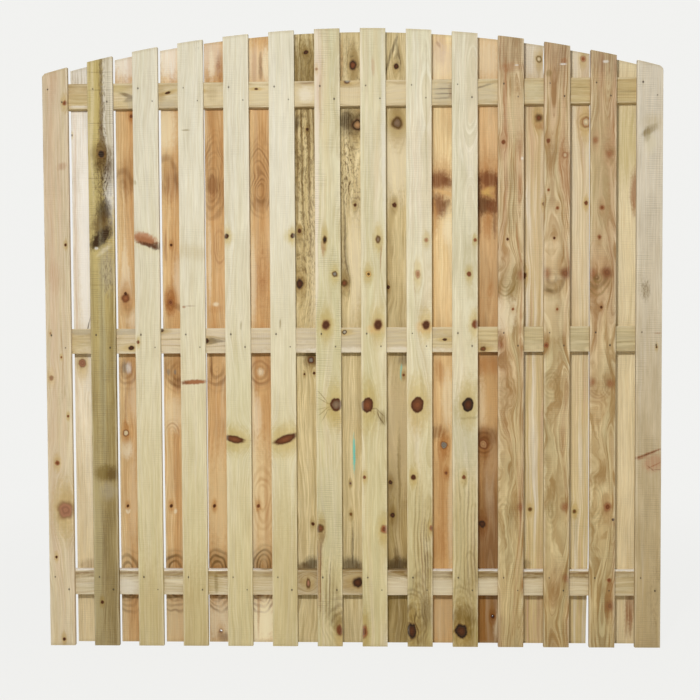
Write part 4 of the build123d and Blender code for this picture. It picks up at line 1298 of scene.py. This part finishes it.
# a rail's places are across, with the lower edge +, then along the fence
rails = {
    "top_rail": {
        "upper": "railOlive", "lower": "railOlive", "contrast": 0.6, "lines": 0.75, "ringWidth": 9,
        "pith": (-20, 40), "cloud": 0.2, "lateTint": (0.66, 0.55, 0.40, 1.0),
        "knots": [
            (-8, -543, 4, "blackKnot", {"tall": 2.4, "slant": 16}), (-12, -442, 4, "darkKnot"),
            (-16, -278, 3, "darkKnot", {"tall": 2.0}), (-36, -8, 9, "darkKnot", {"heart": "greyKnot"})],
        "stains": [
            (0, -60, 50, 620, "railPale", 0.6), (-30, 0, 6, 1100, "railBrown", 0.5, {"streaky": 0.8}),
            (33, 0, 4, 1100, "railBrown", 0.5, {"streaky": 0.6}), (10, -810, 20, 30, "oliveTan", 0.5),
            (30, -810, 4, 30, "whiteStreak", 0.6), (-4, -668, 5, 22, "mouldBrown", 0.8, {"slant": -20}),
            (8, -655, 6, 20, "mouldBrown", 0.7, {"slant": 18}), (14, -645, 18, 20, "railGrey", 0.6),
            (-22, -690, 12, 26, "yellowOlive", 0.5), (24, -545, 12, 40, "railGrey", 0.6),
            (-5, -565, 20, 14, "railBrown", 0.5), (-5, -410, 20, 16, "railBrown", 0.4),
            (-33, -130, 5, 26, "burntBrown", 0.6), (35, -130, 5, 26, "railBrown", 0.7),
            (0, -130, 20, 22, "whiteStreak", 0.5), (0, 275, 34, 30, "railGrey", 0.6),
            (-10, 275, 2.5, 30, "mould", 0.5), (5, 275, 2.5, 30, "mould", 0.5),
            (18, 275, 2.5, 30, "mould", 0.45), (0, 300, 20, 10, "burntBrown", 0.5),
            (-16, 392, 3, 26, "mould", 0.6, {"slant": 15}), (10, 400, 24, 30, "railGrey", 0.4),
            (0, 545, 30, 30, "greyGreen", 0.4), (0, 680, 30, 40, "oliveTan", 0.5),
            (0, 815, 30, 40, "oliveTan", 0.55), (4, 815, 2, 30, "oliveDark", 0.6),
            (-8, 680, 2, 30, "oliveDark", 0.5)]},
    "middle_rail": {
        "upper": "railOlive", "lower": "railOlive", "contrast": 0.6, "lines": 0.8, "ringWidth": 9,
        "pith": (30, 50), "cloud": 0.18, "lateTint": (0.66, 0.57, 0.44, 1.0),
        "knots": [
            (20, -661, 7, "blackKnot", {"tall": 1.4}), (-33, -570, 7, "blackKnot"),
            (0, -435, 8, "blackKnot"), (-24, -20, 7, "blackKnot", {"heart": "railGrey"}),
            (0, 278, 4, "blackKnot", {"tall": 1.8}), (28, 392, 8, "mouldBrown")],
        "stains": [
            (0, -420, 60, 300, "pinkWhite", 0.55), (-27, -740, 9, 180, "railGrey", 0.7),
            (22, -700, 14, 160, "railPale", 0.5), (0, -405, 2, 30, "mould", 0.7),
            (-6, -100, 3, 900, "railBrown", 0.6, {"streaky": 0.7}),
            (12, 0, 2, 900, "railBrown", 0.6, {"streaky": 0.7}), (0, -80, 50, 280, "railGrey", 0.35),
            (0, 30, 50, 260, "greyPink", 0.35), (28, 100, 8, 260, "whiteStreak", 0.5),
            (0, 700, 50, 220, "greyGreen", 0.4), (2, 690, 2, 40, "oliveDark", 0.5),
            (10, 815, 2, 30, "oliveDark", 0.6)]},
    "bottom_rail": {
        "upper": "railLow", "lower": "railPale", "contrast": 0.5, "lines": 0.6, "ringWidth": 9,
        "pith": (-30, 40), "cloud": 0.2, "lateTint": (0.66, 0.54, 0.38, 1.0),
        "knots": [
            (1, -133, 16, "mouldBrown", {"tall": 0.42, "heart": "rustKnot"}),
            (0, 16, 18, "blackKnot", {"tall": 0.8})],
        "stains": [
            (-26, 0, 13, 1100, "railBrown", 0.85, {"streaky": 0.5}),
            (-30, 0, 4, 1100, "burntBrown", 0.6, {"streaky": 0.6}),
            (-18, 0, 2, 1100, "mouldBrown", 0.5, {"streaky": 0.7}), (0, -587, 26, 16, "mouldBrown", 0.55),
            (0, -425, 36, 32, "oliveTan", 0.6), (0, -412, 30, 5, "oliveDark", 0.6),
            (0, -135, 44, 46, "railBrown", 0.75), (0, 5, 44, 46, "railBrown", 0.85),
            (-26, 270, 14, 300, "oliveDark", 0.45, {"streaky": 0.8}), (16, 260, 22, 330, "railPale", 0.5),
            (0, -278, 40, 40, "oliveTan", 0.35), (0, 820, 40, 50, "oliveTan", 0.5),
            (12, -688, 24, 40, "whiteStreak", 0.6),
            # painted highlight: a near-white strip along the top edge stands for the light that falls on
            # the rail's top face
            (-37.5, 0, 1.8, 1300, "sapWhite", 1.0, {"soft": 0.3, "streaky": 0.0})]},
}
railSize = {"width": 75.0, "thickness": 32.0, "arris": 1.5, "low": -panelHalf, "keep": panelHalf - 20}
railSeed = 50
pocketDepth = 24.0  # how far a nail's hole runs into a rail
places = {side: [sum(c.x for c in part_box(name)) / 2 * mm for name in palings]
          for side, palings in palingSides.items()}

for number, (name, look) in enumerate(rails.items()):
    holes = []
    for face, middles in places.items():
        for middle in middles:
            for sign in (-1, 1):
                holes.append({"across": sign * nails["up"], "height": middle + sign * nails["across"],
                              "half": nails["half"], "face": face, "round": False, "depth": pocketDepth})
    shape = {**railSize, "end": lambda x: np.full_like(x, panelHalf)}
    rail = sawnBoard(name.replace("_rail", "Rail"), shape, holes, look["knots"], railSeed + number)
    # a rail's length lies along X, and its lower edge is across +
    rail.rotation_euler = (0, math.pi / 2, 0)
    rail.location = (0, 0, railLevels[name] / mm)
    rail.data.materials.append(timber(name.replace("_rail", "RailTimber"), look, railSeed + number, 0))
    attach(rail, "root")
    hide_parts(name)
print("rails made")

bradFinish = {
    "steel": (0.10, 0.085, 0.07, 1.0), "rust": (0.06, 0.034, 0.018, 1.0), "spots": 700.0,
    "spotFade": (0.42, 0.64),
    "rough": (0.42, 0.85), "metal": (0.85, 0.1),  # of bare steel and of rust
    "bump": 0.3, "bumpDepth": 0.0002,
}


def nailSteel():  # dull brads that have begun to rust
    finish = bradFinish
    material, tree = newMaterial("nailSteel")
    shader = tree.nodes["Principled BSDF"]
    place = addNode(tree, "ShaderNodeTexCoord").outputs["Object"]
    rust = fade(tree, noise(tree, place, finish["spots"], 4.0, 0.6), *finish["spotFade"])
    tree.links.new(mixColour(tree, rust, finish["steel"], finish["rust"]), shader.inputs["Base Color"])
    tree.links.new(fade(tree, rust, 0.0, 1.0, *finish["rough"]), shader.inputs["Roughness"])
    tree.links.new(fade(tree, rust, 0.0, 1.0, *finish["metal"]), shader.inputs["Metallic"])
    values = {"Height": rust, "Strength": finish["bump"], "Distance": finish["bumpDepth"]}
    bump = addNode(tree, "ShaderNodeBump", values)
    tree.links.new(bump.outputs["Normal"], shader.inputs["Normal"])
    return material


def brads(name, face):  # every brad of one side, head outwards, with a chisel point
    half, length = nails["half"], nails["length"]
    head = half - nails["bevel"]
    rings = [(head, head, 0.0), (half, half, nails["bevelDepth"]), (half, half, length - nails["point"]),
             (nails["tipHalf"], half, length)]
    shell = bmesh.new()

    def corner(x, y, z):
        return shell.verts.new(Vector((x, y, z)) / mm)

    for middle in places[face]:
        for level in railLevels.values():
            for sign in (-1, 1):
                atX, atZ = middle + sign * nails["across"], level - sign * nails["up"]
                made = []
                for halfX, halfZ, depth in rings:
                    y = face * (cadBox[1].y * mm - nails["sink"] - depth)
                    square = ((-halfX, -halfZ), (halfX, -halfZ), (halfX, halfZ), (-halfX, halfZ))
                    made.append([corner(atX + x, y, atZ + z) for x, z in square])
                shell.faces.new(made[0])
                shell.faces.new(made[-1])
                for a, b in zip(made, made[1:]):
                    for n in range(4):
                        shell.faces.new((a[n], a[(n + 1) % 4], b[(n + 1) % 4], b[n]))
    bmesh.ops.recalc_face_normals(shell, faces=shell.faces)
    mesh = bpy.data.meshes.new(name)
    shell.to_mesh(mesh)
    shell.free()
    piece = bpy.data.objects.new(name, mesh)
    bpy.context.collection.objects.link(piece)
    return piece


steel = nailSteel()
for name, face in (("frontNails", -1), ("backNails", 1)):
    piece = brads(name, face)
    piece.data.materials.append(steel)
    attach(piece, "root")
    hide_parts(*(f"{name[:-5]}_nails_{rail}" for rail in rails))
print("nails made")

# studio: pale floor that fades into the background, one soft lamp above the camera and an even fill
studio = {
    "background": (0.885, 0.885, 0.868, 1.0), "fill": 0.06, "overhead": 0.72,
    "skyTone": (1.0, 0.99, 0.97, 1.0),
    "lampAt": (-0.13, -2.7, 1.82), "lampAim": (0, 0, 0.92), "lampSize": 0.26, "lampWatts": 48.5,
    "floorTone": (0.82, 0.82, 0.80, 1.0), "floorRadius": 14.0, "floorSides": 96, "floorAt": (0, 0, -0.0005),
    "floorFade": (1.2, 4.0), "floorGlow": 0.94,
}


def backgroundRays(tree):  # 1 for what the camera sees, also in gloss and glass
    path = addNode(tree, "ShaderNodeLightPath").outputs
    mirrored = calc(tree, "MAXIMUM", path["Is Glossy Ray"], path["Is Transmission Ray"])
    return calc(tree, "MAXIMUM", path["Is Camera Ray"], mirrored)


def paleFloor():
    material, tree = newMaterial("paleFloor")
    tree.nodes.clear()
    place = addNode(tree, "ShaderNodeTexCoord").outputs["Object"]
    away = addNode(tree, "ShaderNodeVectorMath", {0: place}, operation="LENGTH").outputs["Value"]
    clear = fade(tree, away, *studio["floorFade"], studio["floorGlow"], 1.0)
    glow = calc(tree, "MULTIPLY", backgroundRays(tree), clear)
    diffuse = addNode(tree, "ShaderNodeBsdfDiffuse", {"Color": studio["floorTone"]})
    plain = addNode(tree, "ShaderNodeEmission", {"Color": studio["background"]})
    mix = addNode(tree, "ShaderNodeMixShader", {0: glow, 1: diffuse.outputs[0], 2: plain.outputs[0]})
    addNode(tree, "ShaderNodeOutputMaterial", {"Surface": mix.outputs[0]})
    return material


bpy.ops.mesh.primitive_circle_add(
    vertices=studio["floorSides"], radius=studio["floorRadius"], fill_type="NGON",
    location=studio["floorAt"])
floor = bpy.context.object
floor.name = "floor"
floor.data.materials.append(paleFloor())

world = bpy.data.worlds.new("studio")
bpy.context.scene.world = world
world.use_nodes = True
sky = world.node_tree
sky.nodes.clear()
seen = backgroundRays(sky)
heading = addNode(sky, "ShaderNodeTexCoord").outputs["Generated"]
upward = calc(sky, "MAXIMUM", parts(sky, heading)["Z"], 0.0)
soft = calc(sky, "MULTIPLY_ADD", upward, studio["overhead"], studio["fill"])
fillLight = addNode(sky, "ShaderNodeBackground", {"Color": studio["skyTone"], "Strength": soft})
plain = addNode(sky, "ShaderNodeBackground", {"Color": studio["background"], "Strength": 1.0})
both = addNode(sky, "ShaderNodeMixShader", {0: seen, 1: fillLight.outputs[0], 2: plain.outputs[0]})
addNode(sky, "ShaderNodeOutputWorld", {"Surface": both.outputs[0]})

lampData = bpy.data.lights.new("softLamp", "AREA")
lampData.shape, lampData.size, lampData.energy = "DISK", studio["lampSize"], studio["lampWatts"]
lamp = bpy.data.objects.new("softLamp", lampData)
lamp.location = studio["lampAt"]
lamp.rotation_euler = (Vector(studio["lampAim"]) - lamp.location).to_track_quat("-Z", "Y").to_euler()
bpy.context.collection.objects.link(lamp)

view = {  # metres, degrees and mm
    "at": (0.119, -3.5, 0.928), "turn": 2.019, "tilt": -2.351, "roll": 0.292, "lens": 60.05, "sensor": 36.0,
    "shiftUp": 0.05}
cameraData = bpy.data.cameras.new("camera")
cameraData.sensor_width, cameraData.lens, cameraData.shift_y = view["sensor"], view["lens"], view["shiftUp"]
camera = bpy.data.objects.new("camera", cameraData)
camera.location = view["at"]
camera.rotation_euler = [math.radians(angle) for angle in (90 + view["tilt"], view["roll"], view["turn"])]
bpy.context.collection.objects.link(camera)
bpy.context.scene.camera = camera
bpy.context.scene.view_settings.view_transform = "Standard"
print("studio set")
